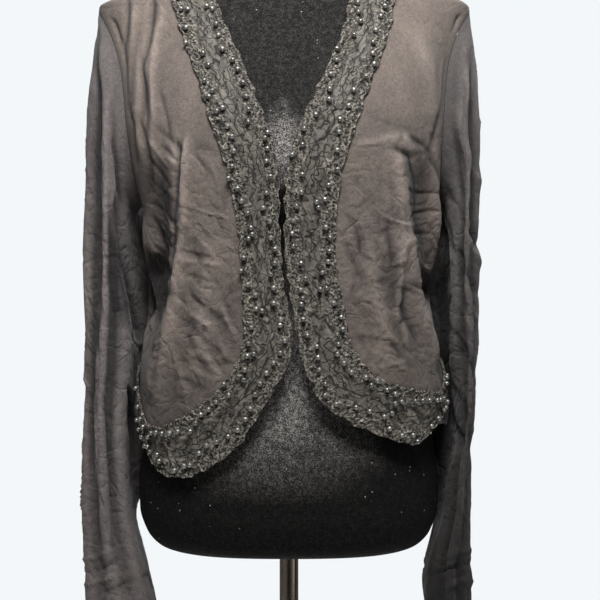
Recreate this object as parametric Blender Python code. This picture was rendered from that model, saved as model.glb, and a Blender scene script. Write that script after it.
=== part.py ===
"""A black jersey bolero jacket with a beaded lace edge, worn by a limbless dress form on a stand.
Metres, +Z up, the open front faces -Y, the origin lies under the middle of the stand's base."""

import math

import bmesh
import bpy
import numpy as np

# Thicknesses and clearances
WALL = 0.0016
SEAM = 0.0002
LACE_LIFT = 0.0010
LACE_NET = 0.0013
LACE_CORD = 0.0023
BEAD_RISE = 0.0046
SCALLOP = 0.024
SCALLOP_SHARE = 0.055
PANEL_INSET = 0.10
HOLE_SHARE = 0.52
CORNER_SHARE = 0.94

# Grid counts
SIDE_ROWS = 14
FAN_COLUMNS = 9
BACK_COLUMNS = 20
SLEEVE_POINTS = 24
FORM_POINTS = 28

# Stand
BASE_RADIUS = 0.160
BASE_EDGE = 0.006
BASE_TOP = 0.009
HUB_RADIUS = 0.019
HUB_TOP = 0.042
POLE_RADIUS = 0.010
SOCKET_CLEARANCE = 0.0003
SOCKET_DEPTH = 0.030

SECTION_POWER = 2.6

# Colours
JERSEY = (0.016, 0.014, 0.014)
LACE = (0.020, 0.019, 0.018)
VELVET = (0.010, 0.009, 0.009)
BASE_PAINT = (0.020, 0.020, 0.020)
POLE_METAL = (0.620, 0.600, 0.570)

# Worn jacket: height, half width on the viewer's left, on the right, depth to the front, to the back
COAT = (
    (0.860, 0.158, 0.166, 0.124, 0.122),
    (0.900, 0.158, 0.166, 0.124, 0.122),
    (0.940, 0.158, 0.166, 0.124, 0.121),
    (0.980, 0.158, 0.163, 0.123, 0.118),
    (1.020, 0.154, 0.155, 0.122, 0.115),
    (1.050, 0.149, 0.151, 0.121, 0.113),
    (1.080, 0.149, 0.149, 0.121, 0.110),
    (1.115, 0.150, 0.154, 0.122, 0.108),
    (1.150, 0.153, 0.157, 0.124, 0.106),
    (1.200, 0.166, 0.162, 0.126, 0.105),
    (1.240, 0.176, 0.168, 0.124, 0.106),
    (1.300, 0.188, 0.178, 0.106, 0.107),
    (1.340, 0.197, 0.186, 0.091, 0.104),
    (1.372, 0.202, 0.192, 0.078, 0.097),
    (1.390, 0.157, 0.154, 0.069, 0.089),
    (1.410, 0.110, 0.109, 0.062, 0.079),
    (1.425, 0.076, 0.076, 0.059, 0.071),
    (1.445, 0.062, 0.062, 0.058, 0.064),
)

# Dress form: height, half width, depth to the front, depth to the back
FORM = (
    (0.8000, 0.100, 0.070, 0.066),
    (0.8020, 0.122, 0.088, 0.084),
    (0.8090, 0.139, 0.103, 0.099),
    (0.8220, 0.150, 0.111, 0.108),
    (0.8450, 0.1575, 0.115, 0.113),
    (0.8750, 0.1585, 0.115, 0.114),
    (0.9100, 0.1535, 0.113, 0.112),
    (0.9500, 0.1480, 0.108, 0.108),
    (0.9900, 0.1400, 0.103, 0.101),
    (1.0300, 0.1300, 0.099, 0.095),
    (1.0650, 0.1250, 0.098, 0.092),
    (1.1000, 0.1270, 0.102, 0.092),
    (1.1400, 0.1360, 0.112, 0.094),
    (1.1750, 0.1450, 0.119, 0.096),
    (1.2050, 0.1510, 0.121, 0.098),
    (1.2400, 0.1560, 0.118, 0.100),
    (1.2800, 0.1600, 0.107, 0.101),
    (1.3200, 0.1650, 0.093, 0.100),
    (1.3500, 0.1720, 0.081, 0.095),
    (1.3680, 0.1790, 0.0735, 0.0905),
    (1.3800, 0.1670, 0.0685, 0.0855),
    (1.3920, 0.1435, 0.0635, 0.0810),
    (1.4060, 0.1110, 0.0580, 0.0735),
    (1.4180, 0.0843, 0.0545, 0.0660),
    (1.4320, 0.0630, 0.0522, 0.0602),
    (1.4550, 0.0545, 0.050, 0.056),
    (1.4900, 0.0520, 0.049, 0.054),
    (1.5020, 0.0490, 0.046, 0.051),
    (1.5075, 0.0400, 0.037, 0.042),
)

# Lace band: angle and height of the scalloped free edge, angle and height of the edge on the cloth
LACE_LEFT = (
    (-90.0, 1.4200, -90.0, 1.3980),
    (-75.0, 1.4180, -81.0, 1.3960),
    (-60.0, 1.4070, -73.0, 1.3885),
    (-50.0, 1.3880, -66.0, 1.3790),
    (-43.2, 1.3674, -60.2, 1.3690),
    (-36.3, 1.3430, -54.4, 1.3440),
    (-27.6, 1.3148, -47.5, 1.3119),
    (-19.7, 1.2850, -40.4, 1.2790),
    (-13.4, 1.2579, -35.0, 1.2480),
    (-8.1, 1.2278, -30.4, 1.2195),
    (-5.3, 1.2022, -27.4, 1.1940),
    (-4.0, 1.1758, -25.0, 1.1692),
    (-3.6, 1.1367, -22.9, 1.1367),
    (-2.8, 1.0974, -22.0, 1.0975),
    (-0.6, 1.0630, -21.2, 1.0630),
    (2.0, 1.0286, -20.6, 1.0335),
    (0.9, 1.0060, -21.9, 1.0120),
    (-3.7, 0.9850, -25.0, 0.9930),
    (-9.5, 0.9630, -29.5, 0.9780),
    (-16.0, 0.9383, -35.5, 0.9640),
    (-23.7, 0.9155, -42.0, 0.9530),
    (-34.7, 0.8955, -49.0, 0.9430),
    (-46.4, 0.8855, -56.0, 0.9365),
    (-55.0, 0.8900, -62.5, 0.9380),
    (-63.0, 0.9085, -69.0, 0.9500),
    (-71.0, 0.9280, -76.0, 0.9690),
    (-80.0, 0.9420, -83.0, 0.9860),
    (-90.0, 0.9490, -90.0, 0.9960),
)
LACE_RIGHT = (
    (90.0, 1.4200, 90.0, 1.3980),
    (75.0, 1.4180, 80.0, 1.3960),
    (59.0, 1.4060, 70.5, 1.3880),
    (47.5, 1.3880, 63.5, 1.3790),
    (38.3, 1.3672, 57.2, 1.3690),
    (31.3, 1.3364, 51.8, 1.3402),
    (23.7, 1.3083, 44.8, 1.3075),
    (15.6, 1.2787, 37.8, 1.2770),
    (9.7, 1.2558, 32.0, 1.2480),
    (4.5, 1.2317, 27.8, 1.2204),
    (0.9, 1.2071, 24.1, 1.1900),
    (-1.2, 1.1807, 22.4, 1.1600),
    (-1.8, 1.1367, 21.8, 1.1270),
    (-0.9, 1.0974, 22.6, 1.0945),
    (1.3, 1.0630, 25.0, 1.0640),
    (4.0, 1.0286, 27.2, 1.0360),
    (5.8, 1.0080, 28.8, 1.0180),
    (10.0, 0.9834, 33.0, 1.0010),
    (14.8, 0.9628, 38.0, 0.9890),
    (22.4, 0.9480, 44.8, 0.9810),
    (32.5, 0.9358, 51.5, 0.9760),
    (43.1, 0.9241, 58.5, 0.9720),
    (52.8, 0.9187, 66.0, 0.9700),
    (60.6, 0.9293, 73.0, 0.9740),
    (68.2, 0.9420, 79.0, 0.9850),
    (78.0, 0.9520, 84.0, 0.9960),
    (90.0, 0.9560, 90.0, 1.0010),
)
LACE_BACK_NECK = (
    (90.0, 1.4200, 90.0, 1.3980),
    (115.0, 1.4210, 106.0, 1.3900),
    (140.0, 1.4225, 132.0, 1.3810),
    (180.0, 1.4235, 180.0, 1.3780),
    (220.0, 1.4225, 228.0, 1.3810),
    (245.0, 1.4210, 254.0, 1.3900),
    (270.0, 1.4200, 270.0, 1.3980),
)
LACE_BACK_HEM = (
    (90.0, 0.9560, 90.0, 1.0010),
    (130.0, 0.9545, 130.0, 1.0025),
    (180.0, 0.9530, 180.0, 1.0030),
    (230.0, 0.9510, 230.0, 1.0000),
    (270.0, 0.9490, 270.0, 0.9960),
)

# Armhole: middle height, half height, depth to the front, depth to the back
ARMHOLE = (1.2685, 0.1035, 0.060, 0.068)

# Folds of the body: angle and height of the start, of the end, half width, rise (negative for a trough)
FOLDS = (
    (-44.0, 1.225, -47.0, 1.130, 0.013, 0.0050),
    (-47.0, 1.130, -61.0, 0.955, 0.015, 0.0065),
    (-57.0, 1.190, -66.0, 1.010, 0.018, -0.0070),
    (-78.0, 1.150, -84.0, 1.090, 0.020, 0.0050),
    (-88.0, 1.080, -76.0, 1.045, 0.013, -0.0120),
    (-61.0, 1.330, -64.0, 1.200, 0.010, 0.0035),
    (-34.0, 1.130, -40.0, 0.985, 0.014, 0.0030),
    (45.0, 1.225, 50.0, 1.140, 0.012, 0.0045),
    (50.0, 1.140, 60.0, 1.060, 0.014, 0.0060),
    (60.0, 1.060, 76.0, 0.990, 0.014, 0.0060),
    (60.0, 1.200, 66.0, 1.090, 0.018, -0.0080),
    (70.0, 1.215, 80.0, 1.100, 0.014, 0.0070),
    (66.0, 1.080, 88.0, 1.070, 0.012, -0.0090),
    (36.0, 1.120, 44.0, 1.000, 0.014, 0.0030),
    (60.0, 1.330, 66.0, 1.240, 0.011, 0.0030),
    (118.0, 1.200, 112.0, 1.020, 0.022, 0.0060),
    (135.0, 1.160, 140.0, 1.000, 0.020, -0.0045),
    (165.0, 1.180, 158.0, 1.000, 0.022, 0.0045),
    (198.0, 1.190, 206.0, 1.000, 0.022, 0.0050),
    (224.0, 1.170, 219.0, 1.010, 0.020, -0.0045),
    (243.0, 1.200, 250.0, 1.010, 0.022, 0.0060),
    (150.0, 1.360, 210.0, 1.360, 0.016, 0.0020),
)

# Hanging sleeves: outer and inner edge in width and height, depth to the front and to the back,
# lean of the inner back towards the body
SLEEVE_LEFT = (
    (0.2047, 1.352, 0.1665, 1.152, 0.060, 0.066, 0.006),
    (0.2082, 1.325, 0.1680, 1.132, 0.060, 0.064, 0.011),
    (0.2107, 1.285, 0.1680, 1.105, 0.059, 0.061, 0.014),
    (0.2122, 1.240, 0.1670, 1.075, 0.057, 0.058, 0.015),
    (0.2132, 1.195, 0.1660, 1.045, 0.055, 0.056, 0.011),
    (0.2147, 1.150, 0.1640, 1.015, 0.053, 0.054, 0.004),
    (0.2152, 1.105, 0.1650, 0.985, 0.051, 0.052, 0.002),
    (0.2157, 1.060, 0.1675, 0.958, 0.050, 0.050, 0.000),
    (0.2162, 1.015, 0.1710, 0.932, 0.048, 0.048, 0.000),
    (0.2167, 0.970, 0.1710, 0.906, 0.046, 0.046, 0.000),
    (0.2182, 0.930, 0.1690, 0.882, 0.044, 0.044, 0.000),
    (0.2192, 0.890, 0.1665, 0.858, 0.042, 0.042, 0.000),
    (0.2197, 0.850, 0.1635, 0.834, 0.041, 0.040, 0.000),
    (0.2182, 0.812, 0.1580, 0.805, 0.039, 0.038, 0.000),
    (0.2167, 0.775, 0.1490, 0.772, 0.038, 0.036, 0.000),
    (0.2162, 0.738, 0.1420, 0.740, 0.037, 0.035, 0.000),
)
SLEEVE_RIGHT = (
    (0.1940, 1.351, 0.1640, 1.152, 0.059, 0.066, 0.006),
    (0.1975, 1.325, 0.1660, 1.132, 0.060, 0.064, 0.011),
    (0.1995, 1.285, 0.1670, 1.105, 0.060, 0.062, 0.014),
    (0.2010, 1.240, 0.1665, 1.075, 0.059, 0.060, 0.015),
    (0.2010, 1.195, 0.1655, 1.045, 0.057, 0.058, 0.011),
    (0.2000, 1.150, 0.1655, 1.015, 0.056, 0.057, 0.004),
    (0.2010, 1.105, 0.1690, 0.988, 0.055, 0.056, 0.002),
    (0.2005, 1.060, 0.1735, 0.962, 0.054, 0.055, 0.000),
    (0.1985, 1.015, 0.1745, 0.936, 0.053, 0.053, 0.000),
    (0.1975, 0.970, 0.1740, 0.910, 0.051, 0.051, 0.000),
    (0.1955, 0.930, 0.1690, 0.884, 0.048, 0.048, 0.000),
    (0.1935, 0.890, 0.1640, 0.858, 0.045, 0.045, 0.000),
    (0.1925, 0.850, 0.1600, 0.832, 0.043, 0.042, 0.000),
    (0.1920, 0.805, 0.1490, 0.798, 0.041, 0.040, 0.000),
    (0.1925, 0.762, 0.1430, 0.760, 0.040, 0.038, 0.000),
    (0.1965, 0.716, 0.1490, 0.718, 0.039, 0.037, 0.000),
)

# Sleeve folds: angle round the sleeve at the top, at the cuff, half width, rise, start and end along it
SLEEVE_FOLDS = (
    (34.0, 38.0, 15.0, 0.0035, 0.10, 1.00),
    (62.0, 60.0, 14.0, -0.0055, 0.05, 1.00),
    (86.0, 84.0, 15.0, 0.0040, 0.12, 0.80),
    (108.0, 112.0, 15.0, -0.0065, 0.16, 0.95),
    (136.0, 142.0, 16.0, 0.0040, 0.15, 1.00),
    (226.0, 216.0, 16.0, 0.0045, 0.12, 1.00),
    (252.0, 250.0, 15.0, -0.0060, 0.10, 0.90),
    (285.0, 290.0, 18.0, 0.0045, 0.08, 1.00),
    (318.0, 322.0, 15.0, -0.0050, 0.10, 0.95),
)


def clear_scene():
    for item in list(bpy.data.objects):
        bpy.data.objects.remove(item, do_unlink=True)


def smooth_curve(places, values):
    """A smooth curve through the points that never overshoots them."""
    places = np.asarray(places, float)
    values = np.asarray(values, float)
    steps = np.diff(places)
    rates = np.diff(values) / steps
    slopes = np.empty(len(places))
    slopes[0] = rates[0]
    slopes[-1] = rates[-1]
    for i in range(1, len(places) - 1):
        product = rates[i - 1] * rates[i]
        slopes[i] = 0.0 if product <= 0 else 2 * product / (rates[i - 1] + rates[i])

    def at(where):
        where = np.clip(np.asarray(where, float), places[0], places[-1])
        i = np.clip(np.searchsorted(places, where, side="right") - 1, 0, len(steps) - 1)
        t = (where - places[i]) / steps[i]
        rise = t * t * (3 - 2 * t)
        start = t * (1 - t) ** 2 * steps[i] * slopes[i]
        end = t * t * (t - 1) * steps[i] * slopes[i + 1]
        return values[i] * (1 - rise) + values[i + 1] * rise + start + end

    return at


def smooth_step(value, low, high):
    t = np.clip((np.asarray(value, float) - low) / (high - low), 0.0, 1.0)
    return t * t * (3 - 2 * t)


def section_functions(table):
    columns = list(zip(*table))
    return [smooth_curve(columns[0], column) for column in columns[1:]]


COAT_LEFT, COAT_RIGHT, COAT_FRONT, COAT_BACK = section_functions(COAT)


def coat_section(angle, height):
    """Point of the smooth jacket surface, with no folds, at an angle in degrees from the front."""
    turn = np.radians(angle)
    side = np.sin(turn)
    ahead = np.cos(turn)
    width = np.where(side > 0, COAT_RIGHT(height), COAT_LEFT(height))
    depth = np.where(ahead > 0, COAT_FRONT(height), COAT_BACK(height))
    reach = np.abs(side / width) ** SECTION_POWER + np.abs(ahead / depth) ** SECTION_POWER
    reach = reach ** (-1 / SECTION_POWER)
    return np.stack([reach * side, -reach * ahead, height + 0 * reach], axis=-1)


def coat_normal(angle, height):
    turn = 0.4
    lift = 0.0008
    across = coat_section(angle + turn, height) - coat_section(angle - turn, height)
    upward = coat_section(angle, height + lift) - coat_section(angle, height - lift)
    normal = np.cross(across, upward)
    return normal / np.linalg.norm(normal, axis=-1, keepdims=True)


def ridge_rise(angle, height, table):
    """Sum of soft ridges and troughs, each a line with a bell-shaped section and tapered ends."""
    metres_per_degree = 0.0024
    total = np.zeros(np.broadcast(angle, height).shape)
    for start_angle, start_height, end_angle, end_height, half_width, rise in table:
        along = np.array([(end_angle - start_angle) * metres_per_degree, end_height - start_height])
        length = np.linalg.norm(along)
        along = along / length
        x = (angle - start_angle) * metres_per_degree
        z = height - start_height
        reach = (x * along[0] + z * along[1]) / length
        apart = np.abs(x * along[1] - z * along[0])
        ends = smooth_step(reach, -0.18, 0.28) * (1 - smooth_step(reach, 0.72, 1.18))
        total = total + rise * ends * np.exp(-((apart / half_width) ** 2))
    return total


def edge_curve(table, columns):
    """Curve through two columns of a lace table, by the share of its length from 0 to 1."""
    rows = np.array(table)
    points = coat_section(rows[:, 0], rows[:, 1])
    run = np.concatenate([[0.0], np.cumsum(np.linalg.norm(np.diff(points, axis=0), axis=1))])
    share = run / run[-1]
    angle_at = smooth_curve(share, rows[:, columns[0]])
    height_at = smooth_curve(share, rows[:, columns[1]])
    return lambda s: np.stack([angle_at(s), height_at(s)], axis=-1), run[-1]


def band(table, share, across):
    """Angle and height on a lace band, across 0 at the free edge and 1 on the cloth."""
    free = edge_curve(table, (0, 1))[0]
    inner = edge_curve(table, (2, 3))[0]
    return free(share) * (1 - across) + inner(share) * across


def edge_cloud():
    clouds = []
    for table in (LACE_LEFT, LACE_RIGHT, LACE_BACK_NECK, LACE_BACK_HEM):
        share = np.linspace(0, 1, 160)[:, None]
        place = band(table, share[:, 0], np.ones((160, 1)))
        clouds.append(coat_section(place[:, 0], place[:, 1]))
    return np.concatenate(clouds)


LACE_CLOUD = edge_cloud()


def fold_room(points):
    """1 on free cloth, 0 where the lace band lies on it and near it."""
    flat = points.reshape(-1, 3)
    nearest = np.full(len(flat), 1.0)
    for start in range(0, len(LACE_CLOUD), 80):
        block = LACE_CLOUD[start : start + 80]
        gap = np.linalg.norm(flat[:, None, :] - block[None, :, :], axis=2).min(axis=1)
        nearest = np.minimum(nearest, gap)
    return smooth_step(nearest, 0.004, 0.040).reshape(points.shape[:-1])


def cloth(angle, height, seams):
    """Outer and inner points of body cloth. Folds fade out under the lace and at the seams."""
    base = coat_section(angle, height)
    normal = coat_normal(angle, height)
    rise = ridge_rise(angle, height, FOLDS) * fold_room(base) * seams
    outer = base + normal * rise[..., None]
    return outer, outer - normal * WALL


def mesh_object(name, points, faces, colour, roughness, metallic=0.0):
    mesh = bpy.data.meshes.new(name)
    mesh.from_pydata([tuple(float(c) for c in p) for p in points], [], faces)
    work = bmesh.new()
    work.from_mesh(mesh)
    bmesh.ops.triangulate(work, faces=work.faces[:], quad_method="SHORT_EDGE")
    bmesh.ops.recalc_face_normals(work, faces=work.faces[:])
    work.to_mesh(mesh)
    work.free()
    item = bpy.data.objects.new(name, mesh)
    bpy.context.scene.collection.objects.link(item)
    material = bpy.data.materials.new(name)
    material.use_nodes = True
    shader = next(n for n in material.node_tree.nodes if n.type == "BSDF_PRINCIPLED")
    shader.inputs["Base Color"].default_value = (*colour, 1.0)
    shader.inputs["Roughness"].default_value = roughness
    shader.inputs["Metallic"].default_value = metallic
    mesh.materials.append(material)
    return item


def zip_rows(first, second):
    """Triangles between two open rows of point numbers that run the same way."""
    faces = []
    i = 0
    j = 0
    while i < len(first) - 1 or j < len(second) - 1:
        next_i = (i + 1) / (len(first) - 1) if i < len(first) - 1 else 2.0
        next_j = (j + 1) / (len(second) - 1) if j < len(second) - 1 else 2.0
        if next_i <= next_j:
            faces.append((first[i], first[i + 1], second[j]))
            i += 1
        else:
            faces.append((first[i], second[j + 1], second[j]))
            j += 1
    return faces


def sheet_body(outer, inner):
    """Points and faces of a thin wall between two grids with the same rows."""
    rows, wide = outer.shape[:2]
    thin = inner.shape[1]
    points = np.concatenate([outer.reshape(-1, 3), inner.reshape(-1, 3)])
    top = np.arange(rows * wide).reshape(rows, wide)
    low = rows * wide + np.arange(rows * thin).reshape(rows, thin)
    faces = []
    for grid in (top, low):
        for i in range(rows - 1):
            for j in range(grid.shape[1] - 1):
                faces.append((grid[i, j], grid[i + 1, j], grid[i + 1, j + 1], grid[i, j + 1]))
    for i in range(rows - 1):
        faces.append((top[i, 0], top[i + 1, 0], low[i + 1, 0], low[i, 0]))
        faces.append((top[i, -1], top[i + 1, -1], low[i + 1, -1], low[i, -1]))
    faces += zip_rows(list(top[0]), list(low[0]))
    faces += zip_rows(list(top[-1]), list(low[-1]))
    return points, [tuple(int(n) for n in f) for f in faces]


def tube_body(outer, inner):
    """Points and faces of a thin open tube between two grids of rings."""
    rings, around = outer.shape[:2]
    points = np.concatenate([outer.reshape(-1, 3), inner.reshape(-1, 3)])
    first = np.arange(rings * around).reshape(rings, around)
    second = first + rings * around
    faces = []
    for grid in (first, second):
        for i in range(rings - 1):
            for j in range(around):
                k = (j + 1) % around
                faces.append((grid[i, j], grid[i + 1, j], grid[i + 1, k], grid[i, k]))
    for i in (0, rings - 1):
        for j in range(around):
            k = (j + 1) % around
            faces.append((first[i, j], first[i, k], second[i, k], second[i, j]))
    return points, [tuple(int(n) for n in f) for f in faces]


def solid_rings(rings):
    """Points and faces of a closed body of rings with a flat cap on both ends."""
    rings = np.asarray(rings)
    count, around = rings.shape[:2]
    points = rings.reshape(-1, 3)
    grid = np.arange(count * around).reshape(count, around)
    faces = []
    for i in range(count - 1):
        for j in range(around):
            k = (j + 1) % around
            faces.append((grid[i, j], grid[i + 1, j], grid[i + 1, k], grid[i, k]))
    faces.append(tuple(grid[0]))
    faces.append(tuple(grid[-1]))
    return points, [tuple(int(n) for n in f) for f in faces]


def armhole_point(side, turn):
    """Angle and height on the armhole edge; turn 0 on the shoulder, 180 under the arm, front first."""
    middle, half, front, rear = ARMHOLE
    t = np.radians(turn)
    height = middle + half * np.cos(t)
    depth = np.where(np.sin(t) >= 0, front, rear) * np.sin(t)
    width = COAT_RIGHT(height) if side > 0 else COAT_LEFT(height)
    room = np.where(depth >= 0, COAT_FRONT(height), COAT_BACK(height))
    x = width * (1 - np.abs(depth / room) ** SECTION_POWER) ** (1 / SECTION_POWER)
    angle = np.degrees(np.arctan2(side * x, depth))
    if side < 0:
        angle = np.where(angle > 0, angle - 360, angle)
    return angle, height


def seam_shift(points, direction):
    """Pulls the points of a shoulder or side seam just clear of the seam's middle line."""
    points[..., 1] = direction * SEAM
    return points


def front_panel(name, table, side):
    knots = np.linspace(0, 180, SLEEVE_POINTS // 2 + 1)
    hole_angle, hole_height = armhole_point(side, knots)
    hole_rows = 2 * (len(knots) - 1)
    rows = np.concatenate(
        [
            np.linspace(0, HOLE_SHARE, hole_rows + 1),
            HOLE_SHARE + (1 - HOLE_SHARE) * np.linspace(0, CORNER_SHARE, SIDE_ROWS + 1)[1:],
        ]
    )
    free = band(table, rows, np.full((len(rows), 1), PANEL_INSET))
    spots = np.linspace(0, len(knots) - 1, hole_rows + 1)
    hem = band(table, 1.0, PANEL_INSET)[1]
    side_angle = np.full(len(rows), 90.0 * side)
    side_angle[: hole_rows + 1] = np.interp(spots, np.arange(len(knots)), hole_angle)
    down = np.linspace(0, CORNER_SHARE, SIDE_ROWS + 1)
    side_height = np.interp(spots, np.arange(len(knots)), hole_height)
    side_height = np.concatenate([side_height, (hole_height[-1] * (1 - down) + hem * down)[1:]])
    u = np.linspace(0, 1, FAN_COLUMNS + 1)[None, :]
    angle = free[:, 0:1] * (1 - u) + side_angle[:, None] * u
    height = free[:, 1:2] * (1 - u) + side_height[:, None] * u
    start = smooth_step(rows, 0.0, 0.06)[:, None]
    seams = start * (1 - smooth_step(u, 0.82, 1.0))
    outer, inner = cloth(angle, height, seams)
    edge = coat_section(hole_angle, hole_height)
    inner_edge = edge - coat_normal(hole_angle, hole_height) * WALL
    for axis in range(3):
        for grid, line in ((outer, edge), (inner, inner_edge)):
            grid[: hole_rows + 1, -1, axis] = np.interp(spots, np.arange(len(knots)), line[:, axis])
    for grid in (outer, inner):
        seam_shift(grid[0], -1)
        seam_shift(grid[hole_rows:, -1], -1)
    points, faces = sheet_body(outer, inner)
    return mesh_object(name, points, faces, JERSEY, 0.85)


def back_panel(name):
    top = np.linspace(1.4185, ARMHOLE[0] + ARMHOLE[1], 5)
    knots = np.linspace(0, 180, SLEEVE_POINTS // 2 + 1)
    hole = armhole_point(1, -knots)[1]
    low = np.linspace(0, 1, 10)[1:]
    u = np.linspace(0, 1, BACK_COLUMNS + 1)
    angles = []
    heights = []
    for height in top[:-1]:
        angles.append(90 + 180 * u)
        heights.append(np.full(len(u), height) + 0.002 * np.sin(math.pi * u))
    right = armhole_point(1, -knots)[0]
    left = armhole_point(-1, -knots)[0] + 360
    for i, height in enumerate(hole):
        angles.append(right[i] * (1 - u) + left[i] * u)
        heights.append(np.full(len(u), height))
    underarm = hole[-1]
    for share in low:
        angles.append(90 + 180 * u)
        hem = band(LACE_BACK_HEM, u, np.full((len(u), 1), PANEL_INSET))[:, 1]
        heights.append(underarm * (1 - share) + hem * share)
    angle = np.array(angles)
    height = np.array(heights)
    seams = smooth_step(np.minimum(u, 1 - u), 0.0, 0.10)[None, :]
    outer, inner = cloth(angle, height, seams)
    first = len(top) - 1
    last = first + len(knots) - 1
    for grid in (outer, inner):
        for column in (0, -1):
            seam_shift(grid[: first + 1, column], 1)
            seam_shift(grid[last:, column], 1)
    points, faces = sheet_body(outer, inner)
    return mesh_object(name, points, faces, JERSEY, 0.85)


def sleeve(name, table, side):
    knots = np.arange(SLEEVE_POINTS) * 360.0 / SLEEVE_POINTS
    angle, height = armhole_point(side, np.where(knots > 180, knots - 360, knots))
    start = coat_section(angle, height)
    turn = np.radians(knots)
    rings = [start]
    for outer_x, outer_z, inner_x, inner_z, front, rear, lean in table:
        x = (outer_x + inner_x) / 2 + (outer_x - inner_x) / 2 * np.cos(turn)
        x = x - lean * np.exp(-(((knots - 222) / 34) ** 2))
        z = (outer_z + inner_z) / 2 + (outer_z - inner_z) / 2 * np.cos(turn)
        y = -np.where(np.sin(turn) > 0, front, rear) * np.sin(turn)
        rings.append(np.stack([side * x, y, z], axis=-1))
    rings = np.array(rings)
    fine = np.linspace(0, len(rings) - 1, 21)
    path = np.empty((len(fine), SLEEVE_POINTS, 3))
    for j in range(SLEEVE_POINTS):
        for axis in range(3):
            path[:, j, axis] = smooth_curve(np.arange(len(rings)), rings[:, j, axis])(fine)
    path[0] = start
    along = np.gradient(path, axis=0)
    around = np.roll(path, -1, axis=1) - np.roll(path, 1, axis=1)
    normal = np.cross(around, along)
    normal /= np.linalg.norm(normal, axis=-1, keepdims=True)
    middle = path.mean(axis=1, keepdims=True)
    facing = np.sign(np.sum(normal * (path - middle), axis=-1, keepdims=True).mean())
    normal *= facing
    share = (fine / fine[-1])[:, None]
    rise = np.zeros(path.shape[:2])
    for top, cuff, half_width, height_of, begin, end in SLEEVE_FOLDS:
        centre = top * (1 - share) + cuff * share + 5 * np.sin(9 * share + top)
        apart = np.abs((knots[None, :] - centre + 180) % 360 - 180)
        ends = smooth_step(share, begin, begin + 0.12) * (1 - smooth_step(share, end - 0.1, end + 0.1))
        rise = rise + height_of * ends * np.exp(-((apart / half_width) ** 2))
    breadth = np.abs(path[:, 0, 0] - path[:, SLEEVE_POINTS // 2, 0])[:, None]
    rise = rise * np.clip((breadth / 0.048) ** 2, 0.15, 1.0)
    outer = path + normal * rise[..., None]
    inner = outer - normal * WALL
    away = np.array([side * 2 * SEAM, 0.0, 0.0])
    outer[0] = start + away
    centre = start.mean(axis=0)
    inward = centre - start
    inward[:, 0] = 0.0
    inward /= np.linalg.norm(inward, axis=-1, keepdims=True)
    inner[0] = outer[0] + inward * WALL
    points, faces = tube_body(outer, inner)
    return mesh_object(name, points, faces, JERSEY, 0.85)


def lace_band(name, table, steps, end_shifts):
    length = edge_curve(table, (0, 1))[1]
    share = np.linspace(0, 1, steps + 1)
    wide = np.array([0.0, 0.07, 0.17, 0.36, 0.64, 0.83, 0.93, 1.0])
    thin = np.linspace(0, 1, 5)
    run = share * length
    wave = np.sin(math.pi * run / SCALLOP + 0.35 * np.sin(run * 61)) ** 2
    other = np.sin(math.pi * run / SCALLOP + 1.1 + 0.35 * np.sin(run * 47)) ** 2
    start = SCALLOP_SHARE * wave[:, None]
    stop = 1 - SCALLOP_SHARE * other[:, None]
    across = start + (stop - start) * wide[None, :]
    below = start + (stop - start) * thin[None, :]
    lift = np.empty(across.shape)
    lift[:] = LACE_LIFT + LACE_NET
    ripple = 0.5 + 0.5 * np.sin(run * 420)[:, None]
    for column in (1, 2, 5, 6):
        lift[:, column] = LACE_LIFT + LACE_CORD * (0.85 + 0.3 * ripple[:, 0])
    lift[::2, 2] = BEAD_RISE
    lift[1::2, 5] = BEAD_RISE
    lift[0] = LACE_LIFT + LACE_NET
    lift[-1] = LACE_LIFT + LACE_NET
    lift[:, 0] = LACE_LIFT + LACE_NET
    lift[:, -1] = LACE_LIFT + LACE_NET
    grids = []
    for place, out in ((across, lift), (below, np.full(below.shape, LACE_LIFT))):
        spot = band(table, share[:, None] + 0 * place, place[..., None])
        base = coat_section(spot[..., 0], spot[..., 1])
        points = base + coat_normal(spot[..., 0], spot[..., 1]) * out[..., None]
        seam_shift(points[0], end_shifts[0])
        seam_shift(points[-1], end_shifts[1])
        grids.append(points)
    points, faces = sheet_body(grids[0], grids[1])
    return mesh_object(name, points, faces, LACE, 0.70)


def form_torso():
    columns = list(zip(*FORM))
    heights = np.array(columns[0])
    turn = np.arange(FORM_POINTS) * 2 * math.pi / FORM_POINTS
    rings = []
    hole = POLE_RADIUS + SOCKET_CLEARANCE
    for height in (heights[0] + SOCKET_DEPTH, heights[0]):
        ring = [hole * np.sin(turn), -hole * np.cos(turn), np.full(FORM_POINTS, height)]
        rings.append(np.stack(ring, axis=-1))
    for i, height in enumerate(heights):
        side = np.sin(turn)
        ahead = np.cos(turn)
        width = columns[1][i]
        depth = np.where(ahead > 0, columns[2][i], columns[3][i])
        reach = np.abs(side / width) ** SECTION_POWER + np.abs(ahead / depth) ** SECTION_POWER
        reach = reach ** (-1 / SECTION_POWER)
        rings.append(np.stack([reach * side, -reach * ahead, np.full(FORM_POINTS, height)], axis=-1))
    points, faces = solid_rings(rings)
    return mesh_object("form_torso", points, faces, VELVET, 0.95)


def turned(name, profile, points_round, colour, roughness, metallic):
    turn = np.arange(points_round) * 2 * math.pi / points_round
    rings = []
    for radius, height in profile:
        ring = [radius * np.sin(turn), -radius * np.cos(turn), np.full(points_round, height)]
        rings.append(np.stack(ring, axis=-1))
    points, faces = solid_rings(rings)
    return mesh_object(name, points, faces, colour, roughness, metallic)


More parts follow.
